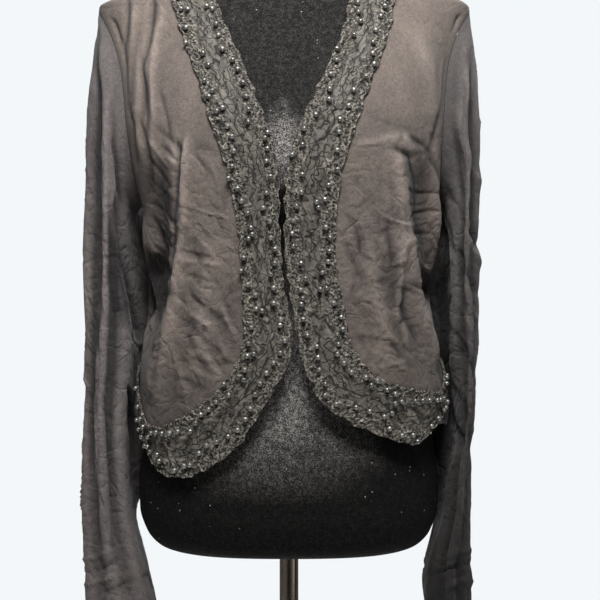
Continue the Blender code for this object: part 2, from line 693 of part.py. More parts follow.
def stand():
    hole = POLE_RADIUS + SOCKET_CLEARANCE
    base = (
        (BASE_RADIUS - 0.002, 0.0),
        (BASE_RADIUS, 0.002),
        (BASE_RADIUS, BASE_EDGE - 0.002),
        (BASE_RADIUS - 0.003, BASE_EDGE),
        (HUB_RADIUS + 0.012, BASE_TOP),
        (HUB_RADIUS + 0.002, BASE_TOP + 0.004),
        (HUB_RADIUS - 0.002, HUB_TOP - 0.004),
        (HUB_RADIUS - 0.005, HUB_TOP),
        (hole, HUB_TOP),
        (hole, HUB_TOP - SOCKET_DEPTH),
    )
    turned("stand_base", base, FORM_POINTS, BASE_PAINT, 0.45, 0.0)
    top = FORM[0][0] + SOCKET_DEPTH - SOCKET_CLEARANCE
    foot = HUB_TOP - SOCKET_DEPTH + SOCKET_CLEARANCE
    pole = ((POLE_RADIUS, foot), (POLE_RADIUS, top))
    turned("stand_pole", pole, FORM_POINTS, POLE_METAL, 0.25, 1.0)


def main():
    clear_scene()
    form_torso()
    stand()
    front_panel("front_left", LACE_LEFT, -1)
    front_panel("front_right", LACE_RIGHT, 1)
    back_panel("back")
    sleeve("sleeve_left", SLEEVE_LEFT, -1)
    sleeve("sleeve_right", SLEEVE_RIGHT, 1)
    lace_band("lace_left", LACE_LEFT, 81, (-1, -1))
    lace_band("lace_right", LACE_RIGHT, 78, (-1, -1))
    lace_band("lace_back_neck", LACE_BACK_NECK, 30, (1, 1))
    lace_band("lace_back_hem", LACE_BACK_HEM, 40, (1, 1))


main()
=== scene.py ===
"""Looks of a black jersey bolero jacket with a beaded lace edge, on a dress form.
Metres, +Z up, the open front faces -Y, the origin lies under the middle of the stand's base."""

import math

import bmesh
import bpy
import numpy as np
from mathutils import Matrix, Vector


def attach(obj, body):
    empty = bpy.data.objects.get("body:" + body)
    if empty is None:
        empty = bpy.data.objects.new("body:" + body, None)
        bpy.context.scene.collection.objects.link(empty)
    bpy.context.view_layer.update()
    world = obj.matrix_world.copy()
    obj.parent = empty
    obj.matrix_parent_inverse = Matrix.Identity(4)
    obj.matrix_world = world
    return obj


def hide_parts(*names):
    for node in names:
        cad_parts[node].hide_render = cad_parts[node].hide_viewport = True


bl_info = {
    "name": "Bolero Jacket",
    "version": (1, 0, 0),
    "blender": (4, 5, 0),
    "location": "View3D > Sidebar > Bolero",
    "description": "Jersey, lace, beads, dress form, stand and stage of a bolero jacket",
    "category": "Object",
}

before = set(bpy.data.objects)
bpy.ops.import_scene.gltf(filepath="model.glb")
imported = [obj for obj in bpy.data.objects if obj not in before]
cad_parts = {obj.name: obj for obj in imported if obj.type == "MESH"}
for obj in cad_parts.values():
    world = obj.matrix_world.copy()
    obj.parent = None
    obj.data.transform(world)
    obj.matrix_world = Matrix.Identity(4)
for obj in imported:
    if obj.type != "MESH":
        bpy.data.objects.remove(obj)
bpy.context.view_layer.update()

# Half the gap at a seam, and the lace's height over the smooth cloth
SEAM = 0.0002
LACE_LIFT = 0.0010

# Width of the lace, length of a scallop along it, and a scallop's depth as a share of the width
LACE_WIDTH = 0.050
SCALLOP = 0.024
SCALLOP_SHARE = 0.055

# A front's free edge: how far under the lace it lies, its share beside the armhole, and its lowest row
PANEL_INSET = 0.10
HOLE_SHARE = 0.52
CORNER_SHARE = 0.94

# Power of the rounded sections, where 2 would be an ellipse, and cloth in metres for a degree round the body
SECTION_POWER = 2.6
METRES_PER_DEGREE = 0.0024

# The stand
POLE_RADIUS = 0.010
SOCKET_CLEARANCE = 0.0003
SOCKET_DEPTH = 0.030
BASE_RADIUS = 0.160
BASE_EDGE = 0.006
HUB_RADIUS = 0.019
HUB_TOP = 0.042

# Front view that the crease tables are read in: distance, height, step, middle and width in steps
VIEW_DISTANCE = 1.5
VIEW_HEIGHT = 1.063
VIEW_STEP = 0.00107
VIEW_ACROSS = 289.0
VIEW_DOWN = 300.0
VIEW_WIDTH = 600

# How much deeper and narrower the creases are made than their tables say, and the weaker ones' shares
CREASE_GAIN = 1.7
CREASE_WIDTH = 0.85
DRAPE_SHARE = 0.65
BACK_CREASE_SHARE = 0.8

# Height range in which the back's cloth shows between its two lace bands
BACK_BARE = (1.0035, 1.3775)

# Room that a sleeve keeps to the body: from its cloth, its folds, the back's lace, the beads and the form
CLOTH_ROOM = 0.0029
FOLD_ROOM = 1.02
LACE_ROOM = 0.0022
BEAD_ROOM = 0.0036
FORM_ROOM = 0.0030

# Length, girth and hem of a sleeve's cloth
SLEEVE_LENGTH = 0.60
SLEEVE_GIRTH = 0.26
SLEEVE_HEM = 0.020

# Painted crease shade of the cloth's inner side, in the panels and lace and in the sleeves
SHEET_INSIDE = 0.35
TUBE_INSIDE = 0.2

# Heights between which the jersey's painted light changes, from painted shade at the bottom to paler at the
# top, and between which its fine crumple fades out
PAINTED_LIGHT_HEIGHTS = (0.72, 1.30)
CALM_HEIGHTS = (1.13, 1.27)

# Worn jacket: height, half width on the viewer's left, on the right, depth to the front, to the back
COAT = (
    (0.86, 0.158, 0.166, 0.124, 0.122),
    (0.9, 0.158, 0.166, 0.124, 0.122),
    (0.94, 0.158, 0.166, 0.124, 0.121),
    (0.98, 0.158, 0.163, 0.123, 0.118),
    (1.02, 0.154, 0.155, 0.122, 0.115),
    (1.05, 0.149, 0.151, 0.121, 0.113),
    (1.08, 0.149, 0.149, 0.121, 0.11),
    (1.115, 0.15, 0.154, 0.122, 0.108),
    (1.15, 0.153, 0.157, 0.124, 0.106),
    (1.2, 0.166, 0.162, 0.126, 0.105),
    (1.24, 0.176, 0.168, 0.124, 0.106),
    (1.3, 0.188, 0.178, 0.106, 0.107),
    (1.34, 0.197, 0.186, 0.091, 0.104),
    (1.372, 0.202, 0.192, 0.078, 0.097),
    (1.39, 0.157, 0.154, 0.069, 0.089),
    (1.41, 0.11, 0.109, 0.062, 0.079),
    (1.425, 0.076, 0.076, 0.059, 0.071),
    (1.445, 0.062, 0.062, 0.058, 0.064),
)

# Dress form: height, half width, depth to the front, depth to the back
FORM = (
    (0.8, 0.1, 0.07, 0.066),
    (0.802, 0.122, 0.088, 0.084),
    (0.809, 0.139, 0.103, 0.099),
    (0.822, 0.15, 0.111, 0.108),
    (0.845, 0.1575, 0.115, 0.113),
    (0.875, 0.1585, 0.115, 0.114),
    (0.91, 0.1535, 0.113, 0.112),
    (0.95, 0.148, 0.108, 0.108),
    (0.99, 0.14, 0.103, 0.101),
    (1.03, 0.13, 0.099, 0.095),
    (1.065, 0.125, 0.098, 0.092),
    (1.1, 0.127, 0.102, 0.092),
    (1.14, 0.136, 0.112, 0.094),
    (1.175, 0.145, 0.119, 0.096),
    (1.205, 0.151, 0.121, 0.098),
    (1.24, 0.156, 0.118, 0.1),
    (1.28, 0.16, 0.107, 0.101),
    (1.32, 0.165, 0.093, 0.1),
    (1.35, 0.172, 0.081, 0.095),
    (1.368, 0.179, 0.0735, 0.0905),
    (1.38, 0.167, 0.0685, 0.0855),
    (1.392, 0.1435, 0.0635, 0.081),
    (1.406, 0.111, 0.058, 0.0735),
    (1.418, 0.0843, 0.0545, 0.066),
    (1.432, 0.063, 0.0522, 0.0602),
    (1.455, 0.0545, 0.05, 0.056),
    (1.49, 0.052, 0.049, 0.054),
    (1.502, 0.049, 0.046, 0.051),
    (1.5075, 0.04, 0.037, 0.042),
)

# Lace band: angle and height of the scalloped free edge, angle and height of the edge on the cloth
LACE_LEFT = (
    (-90, 1.42, -90, 1.398),
    (-75, 1.418, -81, 1.396),
    (-60, 1.407, -73, 1.3885),
    (-50, 1.388, -66, 1.379),
    (-43.2, 1.3674, -60.2, 1.369),
    (-36.3, 1.343, -54.4, 1.344),
    (-27.6, 1.3148, -47.5, 1.3119),
    (-19.7, 1.285, -40.4, 1.279),
    (-13.4, 1.2579, -35, 1.248),
    (-8.1, 1.2278, -30.4, 1.2195),
    (-5.3, 1.2022, -27.4, 1.194),
    (-4, 1.1758, -25, 1.1692),
    (-3.6, 1.1367, -22.9, 1.1367),
    (-2.8, 1.0974, -22, 1.0975),
    (-0.6, 1.063, -21.2, 1.063),
    (2, 1.0286, -20.6, 1.0335),
    (0.9, 1.006, -21.9, 1.012),
    (-3.7, 0.985, -25, 0.993),
    (-9.5, 0.963, -29.5, 0.978),
    (-16, 0.9383, -35.5, 0.964),
    (-23.7, 0.9155, -42, 0.953),
    (-34.7, 0.8955, -49, 0.943),
    (-46.4, 0.8855, -56, 0.9365),
    (-55, 0.89, -62.5, 0.938),
    (-63, 0.9085, -69, 0.95),
    (-71, 0.928, -76, 0.969),
    (-80, 0.942, -83, 0.986),
    (-90, 0.949, -90, 0.996),
)
LACE_RIGHT = (
    (90, 1.42, 90, 1.398),
    (75, 1.418, 80, 1.396),
    (59, 1.406, 70.5, 1.388),
    (47.5, 1.388, 63.5, 1.379),
    (38.3, 1.3672, 57.2, 1.369),
    (31.3, 1.3364, 51.8, 1.3402),
    (23.7, 1.3083, 44.8, 1.3075),
    (15.6, 1.2787, 37.8, 1.277),
    (9.7, 1.2558, 32, 1.248),
    (4.5, 1.2317, 27.8, 1.2204),
    (0.9, 1.2071, 24.1, 1.19),
    (-1.2, 1.1807, 22.4, 1.16),
    (-1.8, 1.1367, 21.8, 1.127),
    (-0.9, 1.0974, 22.6, 1.0945),
    (1.3, 1.063, 25, 1.064),
    (4, 1.0286, 27.2, 1.036),
    (5.8, 1.008, 28.8, 1.018),
    (10, 0.9834, 33, 1.001),
    (14.8, 0.9628, 38, 0.989),
    (22.4, 0.948, 44.8, 0.981),
    (32.5, 0.9358, 51.5, 0.976),
    (43.1, 0.9241, 58.5, 0.972),
    (52.8, 0.9187, 66, 0.97),
    (60.6, 0.9293, 73, 0.974),
    (68.2, 0.942, 79, 0.985),
    (78, 0.952, 84, 0.996),
    (90, 0.956, 90, 1.001),
)
LACE_BACK_NECK = (
    (90, 1.42, 90, 1.398),
    (115, 1.421, 106, 1.39),
    (140, 1.4225, 132, 1.381),
    (180, 1.4235, 180, 1.378),
    (220, 1.4225, 228, 1.381),
    (245, 1.421, 254, 1.39),
    (270, 1.42, 270, 1.398),
)
LACE_BACK_HEM = (
    (90, 0.956, 90, 1.001),
    (130, 0.9545, 130, 1.0025),
    (180, 0.953, 180, 1.003),
    (230, 0.951, 230, 1),
    (270, 0.949, 270, 0.996),
)

# Armhole: middle height, half height, depth to the front, depth to the back
ARMHOLE = (1.2685, 0.1035, 0.060, 0.068)

# Folds of the body: angle and height of the start, of the end, half width, rise (negative for a trough)
FOLDS = (
    (-44, 1.225, -47, 1.13, 0.013, 0.005),
    (-47, 1.13, -61, 0.955, 0.015, 0.0065),
    (-57, 1.19, -66, 1.01, 0.018, -0.007),
    (-78, 1.15, -84, 1.09, 0.02, 0.005),
    (-88, 1.08, -76, 1.045, 0.013, -0.012),
    (-61, 1.33, -64, 1.2, 0.01, 0.0035),
    (-34, 1.13, -40, 0.985, 0.014, 0.003),
    (45, 1.225, 50, 1.14, 0.012, 0.0045),
    (50, 1.14, 60, 1.06, 0.014, 0.006),
    (60, 1.06, 76, 0.99, 0.014, 0.006),
    (60, 1.2, 66, 1.09, 0.018, -0.008),
    (70, 1.215, 80, 1.1, 0.014, 0.007),
    (66, 1.08, 88, 1.07, 0.012, -0.009),
    (36, 1.12, 44, 1, 0.014, 0.003),
    (60, 1.33, 66, 1.24, 0.011, 0.003),
    (118, 1.2, 112, 1.02, 0.022, 0.006),
    (135, 1.16, 140, 1, 0.02, -0.0045),
    (165, 1.18, 158, 1, 0.022, 0.0045),
    (198, 1.19, 206, 1, 0.022, 0.005),
    (224, 1.17, 219, 1.01, 0.02, -0.0045),
    (243, 1.2, 250, 1.01, 0.022, 0.006),
    (150, 1.36, 210, 1.36, 0.016, 0.002),
)

# Hanging sleeves: outer and inner edge in width and height, depth to the front and to the back,
# lean of the inner back towards the body
SLEEVE_LEFT = (
    (0.2047, 1.352, 0.1665, 1.152, 0.06, 0.066, 0.008),
    (0.2082, 1.325, 0.168, 1.132, 0.06, 0.064, 0.015),
    (0.2107, 1.285, 0.168, 1.105, 0.059, 0.061, 0.018),
    (0.2122, 1.24, 0.167, 1.075, 0.057, 0.058, 0.0228),
    (0.2132, 1.195, 0.166, 1.045, 0.055, 0.056, 0.0226),
    (0.2147, 1.15, 0.164, 1.015, 0.053, 0.054, 0.0196),
    (0.2152, 1.105, 0.165, 0.985, 0.051, 0.052, 0.0225),
    (0.2157, 1.06, 0.1675, 0.958, 0.05, 0.05, 0.0195),
    (0.2162, 1.015, 0.171, 0.932, 0.048, 0.048, 0.016),
    (0.2167, 0.97, 0.171, 0.906, 0.046, 0.046, 0.016),
    (0.2182, 0.93, 0.169, 0.882, 0.044, 0.044, 0.0127),
    (0.2192, 0.89, 0.1665, 0.858, 0.042, 0.042, 0.0092),
    (0.2197, 0.85, 0.1635, 0.834, 0.041, 0.04, 0),
    (0.2182, 0.812, 0.158, 0.805, 0.039, 0.038, 0),
    (0.2167, 0.775, 0.149, 0.772, 0.038, 0.036, 0),
    (0.2162, 0.738, 0.142, 0.74, 0.037, 0.035, 0),
)
SLEEVE_RIGHT = (
    (0.194, 1.351, 0.164, 1.152, 0.059, 0.066, 0.006),
    (0.1975, 1.325, 0.166, 1.132, 0.06, 0.064, 0.011),
    (0.1995, 1.285, 0.167, 1.105, 0.06, 0.062, 0.016),
    (0.201, 1.24, 0.1665, 1.075, 0.059, 0.06, 0.0191),
    (0.201, 1.195, 0.1655, 1.045, 0.057, 0.058, 0.0195),
    (0.2, 1.15, 0.1655, 1.015, 0.056, 0.057, 0.0161),
    (0.201, 1.105, 0.169, 0.988, 0.055, 0.056, 0.0142),
    (0.2005, 1.06, 0.1735, 0.962, 0.054, 0.055, 0.0131),
    (0.1985, 1.015, 0.1745, 0.936, 0.053, 0.053, 0.0205),
    (0.1975, 0.97, 0.174, 0.91, 0.051, 0.051, 0.0225),
    (0.1955, 0.93, 0.169, 0.884, 0.048, 0.048, 0.0165),
    (0.1935, 0.89, 0.164, 0.858, 0.045, 0.045, 0.01),
    (0.1925, 0.85, 0.16, 0.832, 0.043, 0.042, 0.003),
    (0.192, 0.805, 0.149, 0.798, 0.041, 0.04, 0),
    (0.1925, 0.762, 0.143, 0.76, 0.04, 0.038, 0),
    (0.1965, 0.716, 0.149, 0.718, 0.039, 0.037, 0),
)

# Sleeve folds: angle round the sleeve at the top, at the cuff, half width, rise, start and end along it
SLEEVE_FOLDS = (
    (34, 38, 15, 0.0035, 0.1, 1),
    (62, 60, 14, -0.0055, 0.05, 1),
    (86, 84, 15, 0.004, 0.12, 0.8),
    (108, 112, 15, -0.0065, 0.16, 0.95),
    (136, 142, 16, 0.004, 0.15, 1),
    (226, 216, 16, 0.0045, 0.12, 1),
    (252, 250, 15, -0.006, 0.1, 0.9),
    (285, 290, 18, 0.0045, 0.08, 1),
    (318, 322, 15, -0.005, 0.1, 0.95),
)

# Creases of the body in the front view: across and down at the start, at the end, half width, rise.
# The back has the same ones, turned half a turn about the upright axis.
BODY_CREASES = (
    (150, 256, 161, 308, 9, -0.0062),
    (300, 128, 386, 141, 3.2, -0.0004),
    (358, 143, 404, 137, 5, 0.001),
    (404, 137, 417, 150, 4, 0.0014),
    (396, 147, 412, 160, 3.6, -0.0022),
    (412, 160, 418, 186, 3.6, -0.0022),
    (418, 186, 420, 236, 4.5, -0.0016),
    (390, 196, 397, 246, 2.6, 0.0014),
    (397, 246, 399, 284, 2.6, 0.0014),
    (392, 200, 393, 262, 2.4, -0.001),
    (399, 284, 398, 312, 2.6, 0.0012),
    (398, 312, 408, 342, 2.8, 0.0014),
    (403, 290, 404, 325, 2.4, -0.0012),
    (412, 215, 434, 213, 2.2, -0.001),
    (412, 232, 432, 236, 2.2, -0.0012),
    (414, 246, 431, 251, 2.2, 0.001),
    (349, 336, 402, 347, 2.6, -0.0012),
    (372, 372, 408, 358, 3, 0.0012),
    (356, 286, 390, 279, 2.6, -0.0008),
    (347, 240, 366, 286, 3, -0.0008),
    (181, 140, 180, 200, 3, -0.0012),
    (187, 146, 186, 200, 3, 0.001),
    (182, 254, 212, 256, 2.4, -0.0009),
    (180, 262, 222, 266, 2.4, 0.0009),
    (184, 274, 216, 282, 2.4, -0.0008),
    (196, 300, 222, 322, 2.4, -0.0012),
    (188, 308, 214, 330, 2.4, 0.0011),
    (180, 318, 212, 346, 2.4, -0.001),
    (200, 330, 228, 318, 2.4, 0.0009),
    (212, 345, 232, 372, 2.6, -0.0012),
    (206, 352, 222, 380, 2.6, 0.0012),
    (176, 376, 206, 392, 2.8, -0.001),
    (190, 366, 220, 384, 2.6, 0.001),
    (150, 218, 162, 250, 2.6, -0.0016),
    (158, 206, 172, 232, 2.4, 0.0012),
    (160, 246, 172, 296, 4, -0.0026),
    (147, 268, 158, 300, 4, -0.0026),
    (144, 318, 152, 352, 3, -0.0012),
    (146, 352, 152, 392, 3, 0.001),
    (160, 130, 186, 156, 2.6, -0.0008),
    (152, 142, 176, 172, 2.6, 0.0009),
    (150, 160, 172, 184, 2.4, -0.0009),
    (178, 140, 181, 166, 3, -0.0014),
    (181, 166, 177, 222, 3.2, -0.0018),
    (177, 222, 171, 280, 3.4, -0.0018),
    (171, 280, 161, 345, 3.6, -0.0016),
    (161, 345, 149, 405, 4, -0.0014),
    (186, 150, 187, 222, 3, 0.0012),
    (184, 222, 177, 290, 3.2, 0.0012),
    (163, 149, 177, 157, 1.8, -0.0009),
    (165, 158, 180, 164, 1.8, 0.0008),
    (167, 168, 181, 171, 1.8, -0.0008),
    (150, 205, 176, 222, 2.4, -0.001),
    (150, 216, 175, 232, 2.2, 0.0008),
    (151, 229, 174, 246, 2.4, -0.001),
    (152, 243, 172, 262, 2.2, 0.0008),
    (154, 262, 170, 276, 2.6, -0.0012),
    (158, 285, 148, 318, 4, -0.0018),
    (150, 330, 143, 390, 3, 0.001),
    (143, 60, 147, 128, 2.6, -0.001),
    (152, 62, 155, 118, 2.6, 0.0008),
    (160, 90, 170, 140, 3, -0.0006),
    (190, 288, 214, 322, 2.8, -0.0006),
    (196, 312, 226, 352, 2.8, 0.0006),
    (188, 330, 206, 372, 3, -0.0007),
    (203, 340, 233, 384, 2.8, -0.0006),
    (175, 350, 186, 398, 3.2, 0.0008),
    (190, 225, 220, 262, 4, 0.0005),
    (194, 250, 221, 292, 3.6, -0.0005),
    (405, 181, 410, 212, 3, 0.001),
    (410, 212, 412, 245, 3, 0.0012),
    (412, 245, 416, 282, 3, 0.0012),
    (416, 282, 426, 322, 3.2, 0.0012),
    (426, 322, 438, 356, 3.4, 0.0012),
    (415, 138, 431, 154, 2.6, -0.0014),
    (431, 154, 437, 181, 2.8, -0.0014),
    (437, 181, 438, 232, 3, -0.0012),
    (436, 232, 427, 279, 3, -0.0014),
    (409, 189, 437, 194, 2, -0.001),
    (409, 203, 430, 206, 2, -0.0005),
    (410, 213, 428, 219, 2.2, 0.0004),
    (408, 284, 434, 290, 3.6, -0.0018),
    (400, 170, 402, 282, 3.2, 0.0008),
    (393, 168, 396, 270, 3.4, -0.0006),
    (352, 300, 386, 331, 2.6, -0.0006),
    (360, 290, 401, 322, 2.6, 0.0006),
    (366, 322, 406, 358, 2.6, -0.0007),
    (357, 344, 392, 376, 2.6, 0.0006),
    (350, 326, 372, 352, 2.4, -0.0005),
    (372, 352, 415, 372, 2.8, 0.0007),
    (398, 300, 418, 345, 2.8, -0.0008),
    (366, 210, 388, 252, 4, 0.0005),
    (358, 238, 384, 285, 3.8, -0.0005),
)

# Long drapes at the shoulders that cross the armhole seams and go on down the sleeves, in the same columns
DRAPES = (
    (157, -4, 149, 37, 3.2, -0.002),
    (149, 37, 144, 75, 3.2, -0.0024),
    (144, 75, 142, 120, 3.4, -0.0026),
    (142, 120, 148, 158, 3.4, -0.0026),
    (148, 158, 149, 200, 3.2, -0.002),
    (164, -4, 157, 37, 4.5, 0.0012),
    (157, 37, 152, 120, 4.5, 0.0014),
    (152, 120, 158, 170, 4.5, 0.001),
    (128, 0, 125, 46, 3, -0.002),
    (125, 46, 124, 92, 3, -0.0022),
    (124, 92, 134, 130, 3.2, -0.0022),
    (134, 130, 139, 165, 3.2, -0.0022),
    (133, 4, 132, 90, 4, 0.0012),
    (112, 20, 121, 42, 2.8, -0.0018),
    (121, 42, 119, 76, 2.8, -0.0016),
    (119, 76, 112, 112, 3, -0.0018),
    (112, 112, 115, 152, 3, -0.0022),
    (115, 152, 124, 200, 3.4, -0.0026),
    (112, 60, 106, 130, 4, 0.0014),
    (107, 130, 111, 200, 4, 0.0016),
    (97, 22, 96, 75, 2.8, -0.002),
    (96, 75, 99, 125, 2.8, -0.002),
    (99, 125, 99, 160, 2.8, -0.002),
    (99, 160, 105, 200, 2.8, -0.002),
    (461, 16, 454, 34, 2.6, -0.0018),
    (454, 34, 449, 76, 2.8, -0.0018),
    (449, 76, 439, 116, 2.8, -0.002),
    (439, 116, 434, 150, 3, -0.0022),
    (444, 60, 441, 112, 3.6, 0.0012),
    (464, 40, 467, 100, 3.2, 0.0014),
    (456, 48, 457, 104, 3, -0.0014),
    (448, 92, 456, 150, 3.2, -0.0018),
    (456, 150, 466, 205, 3.2, -0.0018),
    (454, 120, 466, 178, 2.8, 0.0014),
    (466, 178, 475, 232, 2.8, 0.0012),
)

# Painted shadow in the darkest gaps beside the body: line in the front view, half width, and shade lost in
# hundredths
PAINTED_GAP_SHADOWS = (
    (147, 250, 158, 312, 7, -0.0095),
    (146, 270, 149, 304, 5.5, -0.009),
    (117, 246, 129, 326, 7, -0.0085),
    (160, 296, 167, 318, 4, -0.008),
    (133, 352, 139, 420, 9, -0.0075),
    (398, 262, 412, 372, 26, -0.0012),
    (430, 272, 440, 312, 6, -0.0095),
    (441, 304, 444, 372, 6.5, -0.0095),
    (446, 366, 456, 430, 7, -0.0085),
)

# Creases of the sleeves in the same columns; their far sides have them turned half a turn
SLEEVE_CREASES = (
    (442, 268, 443, 330, 6, -0.003),
    (443, 330, 446, 392, 5, -0.0026),
    (100, 200, 102, 255, 2.8, -0.0022),
    (102, 255, 101, 307, 2.8, -0.0022),
    (101, 307, 98, 352, 2.8, -0.002),
    (98, 352, 98, 420, 2.8, -0.0018),
    (98, 420, 96, 540, 2.8, -0.0016),
    (108, 196, 111, 262, 4.2, 0.0018),
    (111, 262, 113, 318, 4.2, 0.0018),
    (113, 318, 124, 348, 3.6, 0.0014),
    (118, 196, 122, 250, 5.2, -0.0026),
    (122, 250, 128, 292, 5.6, -0.0032),
    (128, 292, 138, 337, 4.4, -0.0026),
    (131, 210, 134, 262, 3.6, 0.0016),
    (134, 262, 137, 292, 3.2, 0.0012),
    (88, 210, 90, 330, 3.2, 0.001),
    (89, 330, 88, 470, 3, -0.001),
    (126, 384, 131, 430, 3.2, -0.0024),
    (131, 430, 136, 484, 3.4, -0.0024),
    (136, 484, 150, 562, 3.4, -0.002),
    (118, 384, 124, 484, 4, 0.0014),
    (105, 392, 110, 440, 2.8, -0.0016),
    (110, 440, 113, 500, 2.8, -0.0018),
    (113, 500, 112, 566, 2.8, -0.0014),
    (106, 384, 118, 376, 2.4, 0.0012),
    (118, 376, 128, 384, 2.4, 0.0012),
    (84, 560, 108, 552, 2.6, 0.0012),
    (88, 572, 124, 560, 2.6, -0.0014),
    (86, 584, 132, 570, 2.6, 0.0014),
    (104, 592, 150, 574, 2.6, -0.0014),
    (120, 548, 148, 592, 2.8, 0.0012),
    (438, 196, 446, 236, 3.4, -0.0026),
    (446, 236, 447, 300, 4, -0.0026),
    (447, 300, 445, 352, 4, -0.0024),
    (470, 60, 474, 150, 2.8, -0.0016),
    (474, 150, 476, 240, 2.8, -0.0014),
    (462, 60, 461, 130, 2.6, 0.0014),
    (452, 70, 449, 128, 2.6, -0.0016),
    (458, 108, 472, 168, 2.4, 0.0014),
    (451, 120, 468, 190, 2.4, -0.0014),
    (445, 352, 448, 420, 3.4, -0.002),
    (453, 230, 458, 292, 3.2, 0.0016),
    (458, 292, 455, 352, 3.2, 0.0014),
    (440, 205, 455, 262, 2.6, 0.0012),
    (455, 262, 470, 318, 2.6, -0.0018),
    (450, 202, 478, 262, 2.4, 0.0014),
    (459, 210, 481, 250, 2.4, -0.0014),
    (452, 290, 476, 340, 2.4, 0.0012),
    (448, 318, 474, 372, 2.6, -0.0016),
    (452, 368, 470, 408, 2.6, 0.0012),
    (446, 392, 462, 446, 2.6, -0.0018),
    (464, 380, 472, 470, 2.8, -0.0014),
    (452, 470, 446, 548, 3, -0.0018),
    (462, 460, 460, 552, 3, 0.0012),
    (430, 560, 468, 552, 2.6, 0.0012),
    (428, 574, 466, 566, 2.6, -0.0014),
    (426, 590, 470, 580, 2.6, 0.0012),
    (108, 330, 134, 347, 3.2, 0.0012),
    (106, 372, 126, 387, 3.2, 0.0011),
    (104, 410, 122, 424, 3, -0.0009),
    (110, 430, 116, 560, 3.2, -0.0011),
    (455, 128, 479, 240, 2.8, -0.0011),
    (462, 118, 482, 200, 2.8, 0.0009),
    (447, 220, 466, 280, 2.8, -0.0012),
    (447, 232, 479, 300, 2.8, -0.0011),
    (452, 212, 480, 268, 2.6, 0.0009),
    (440, 150, 447, 190, 3.2, -0.0014),
    (447, 190, 452, 206, 3, -0.0013),
    (448, 240, 462, 270, 3, -0.0012),
    (462, 270, 455, 291, 3, -0.0012),
    (448, 318, 474, 352, 2.8, 0.0009),
    (450, 340, 472, 372, 2.8, -0.001),
    (452, 386, 466, 416, 2.8, -0.0011),
    (446, 420, 462, 470, 3, 0.0009),
    (458, 450, 452, 540, 3.2, -0.001),
)


def clear_selection():
    """Nothing selected and object mode, before a new piece is modelled."""
    if bpy.context.object and bpy.context.object.mode != "OBJECT":
        bpy.ops.object.mode_set(mode="OBJECT")
    bpy.ops.object.select_all(action="DESELECT")


def make_active(item):
    """Just this piece selected and active."""
    clear_selection()
    item.select_set(True)
    bpy.context.view_layer.objects.active = item


def smooth_curve(places, values):
    """A smooth curve through the points that never overshoots them."""
    places = np.asarray(places, float)
    values = np.asarray(values, float)
    steps = np.diff(places)
    rates = np.diff(values) / steps
    slopes = np.empty(len(places))
    slopes[0] = rates[0]
    slopes[-1] = rates[-1]
    for i in range(1, len(places) - 1):
        product = rates[i - 1] * rates[i]
        slopes[i] = 0.0 if product <= 0 else 2 * product / (rates[i - 1] + rates[i])

    def at(where):
        where = np.clip(np.asarray(where, float), places[0], places[-1])
        i = np.clip(np.searchsorted(places, where, side="right") - 1, 0, len(steps) - 1)
        t = (where - places[i]) / steps[i]
        rise = t * t * (3 - 2 * t)
        start = t * (1 - t) ** 2 * steps[i] * slopes[i]
        end = t * t * (t - 1) * steps[i] * slopes[i + 1]
        return values[i] * (1 - rise) + values[i + 1] * rise + start + end

    return at


def smooth_step(value, low, high):
    """0 below low, 1 above high and a smooth rise between them."""
    t = np.clip((np.asarray(value, float) - low) / (high - low), 0.0, 1.0)
    return t * t * (3 - 2 * t)


def window(value, start, full, fading, end):
    """1 between full and fading, 0 outside start and end, with smooth steps between."""
    return smooth_step(value, start, full) * (1 - smooth_step(value, fading, end))


def bell(value):
    """1 at 0, falling off smoothly to both sides."""
    return np.exp(-(value**2))


def soft_noise(across, along, seed):
    """Smooth noise from -1 to 1 that changes over a step of 1."""
    cells = 64
    grid = np.random.RandomState(seed).uniform(-1, 1, (cells, cells))
    i = np.floor(across).astype(int)
    j = np.floor(along).astype(int)
    u = smooth_step(across - i, 0, 1)
    v = smooth_step(along - j, 0, 1)
    left, right = i % cells, (i + 1) % cells
    low = grid[left, j % cells] * (1 - u) + grid[right, j % cells] * u
    high = grid[left, (j + 1) % cells] * (1 - u) + grid[right, (j + 1) % cells] * u
    return low * (1 - v) + high * v


def crumple(across, along, size, seed):
    """Thin creases and ridges of worn cloth that come and go, about a step of size apart."""
    warp = 0.55 * soft_noise(across / (1.9 * size), along / (1.9 * size), seed + 50)
    bend = 0.55 * soft_noise(across / (1.7 * size) + 7, along / (1.7 * size), seed + 51)
    x = across / size + warp
    y = along / size + bend
    total = 0 * x
    for share, fine in ((1.0, 1.0), (0.5, 2.1)):
        field = soft_noise(fine * x + 3 * fine, fine * y, seed + 2)
        line = np.maximum(1 - np.abs(field) / 0.16, 0) ** 1.2
        total = total + share * line * soft_noise(0.8 * fine * x + 9, 0.8 * fine * y, seed + 60)
    return total


def section_functions(table):
    """Each column of a table as a smooth curve over its heights."""
    columns = list(zip(*table))
    return [smooth_curve(columns[0], column) for column in columns[1:]]


COAT_LEFT, COAT_RIGHT, COAT_FRONT, COAT_BACK = section_functions(COAT)
FORM_SIDE, FORM_FRONT, FORM_BACK = section_functions(FORM)


def rounded_section(angle, height, left, right, front, back):
    """Points of a rounded oval at angles in degrees from the front."""
    turn = np.radians(angle)
    side = np.sin(turn)
    ahead = np.cos(turn)
    width = np.where(side > 0, right, left)
    depth = np.where(ahead > 0, front, back)
    reach = np.abs(side / width) ** SECTION_POWER + np.abs(ahead / depth) ** SECTION_POWER
    reach = reach ** (-1 / SECTION_POWER)
    return np.stack([reach * side, -reach * ahead, height + 0 * reach], axis=-1)


def coat_section(angle, height):
    """Point of the smooth jacket surface, with no folds."""
    halves = (COAT_LEFT(height), COAT_RIGHT(height), COAT_FRONT(height), COAT_BACK(height))
    return rounded_section(angle, height, *halves)


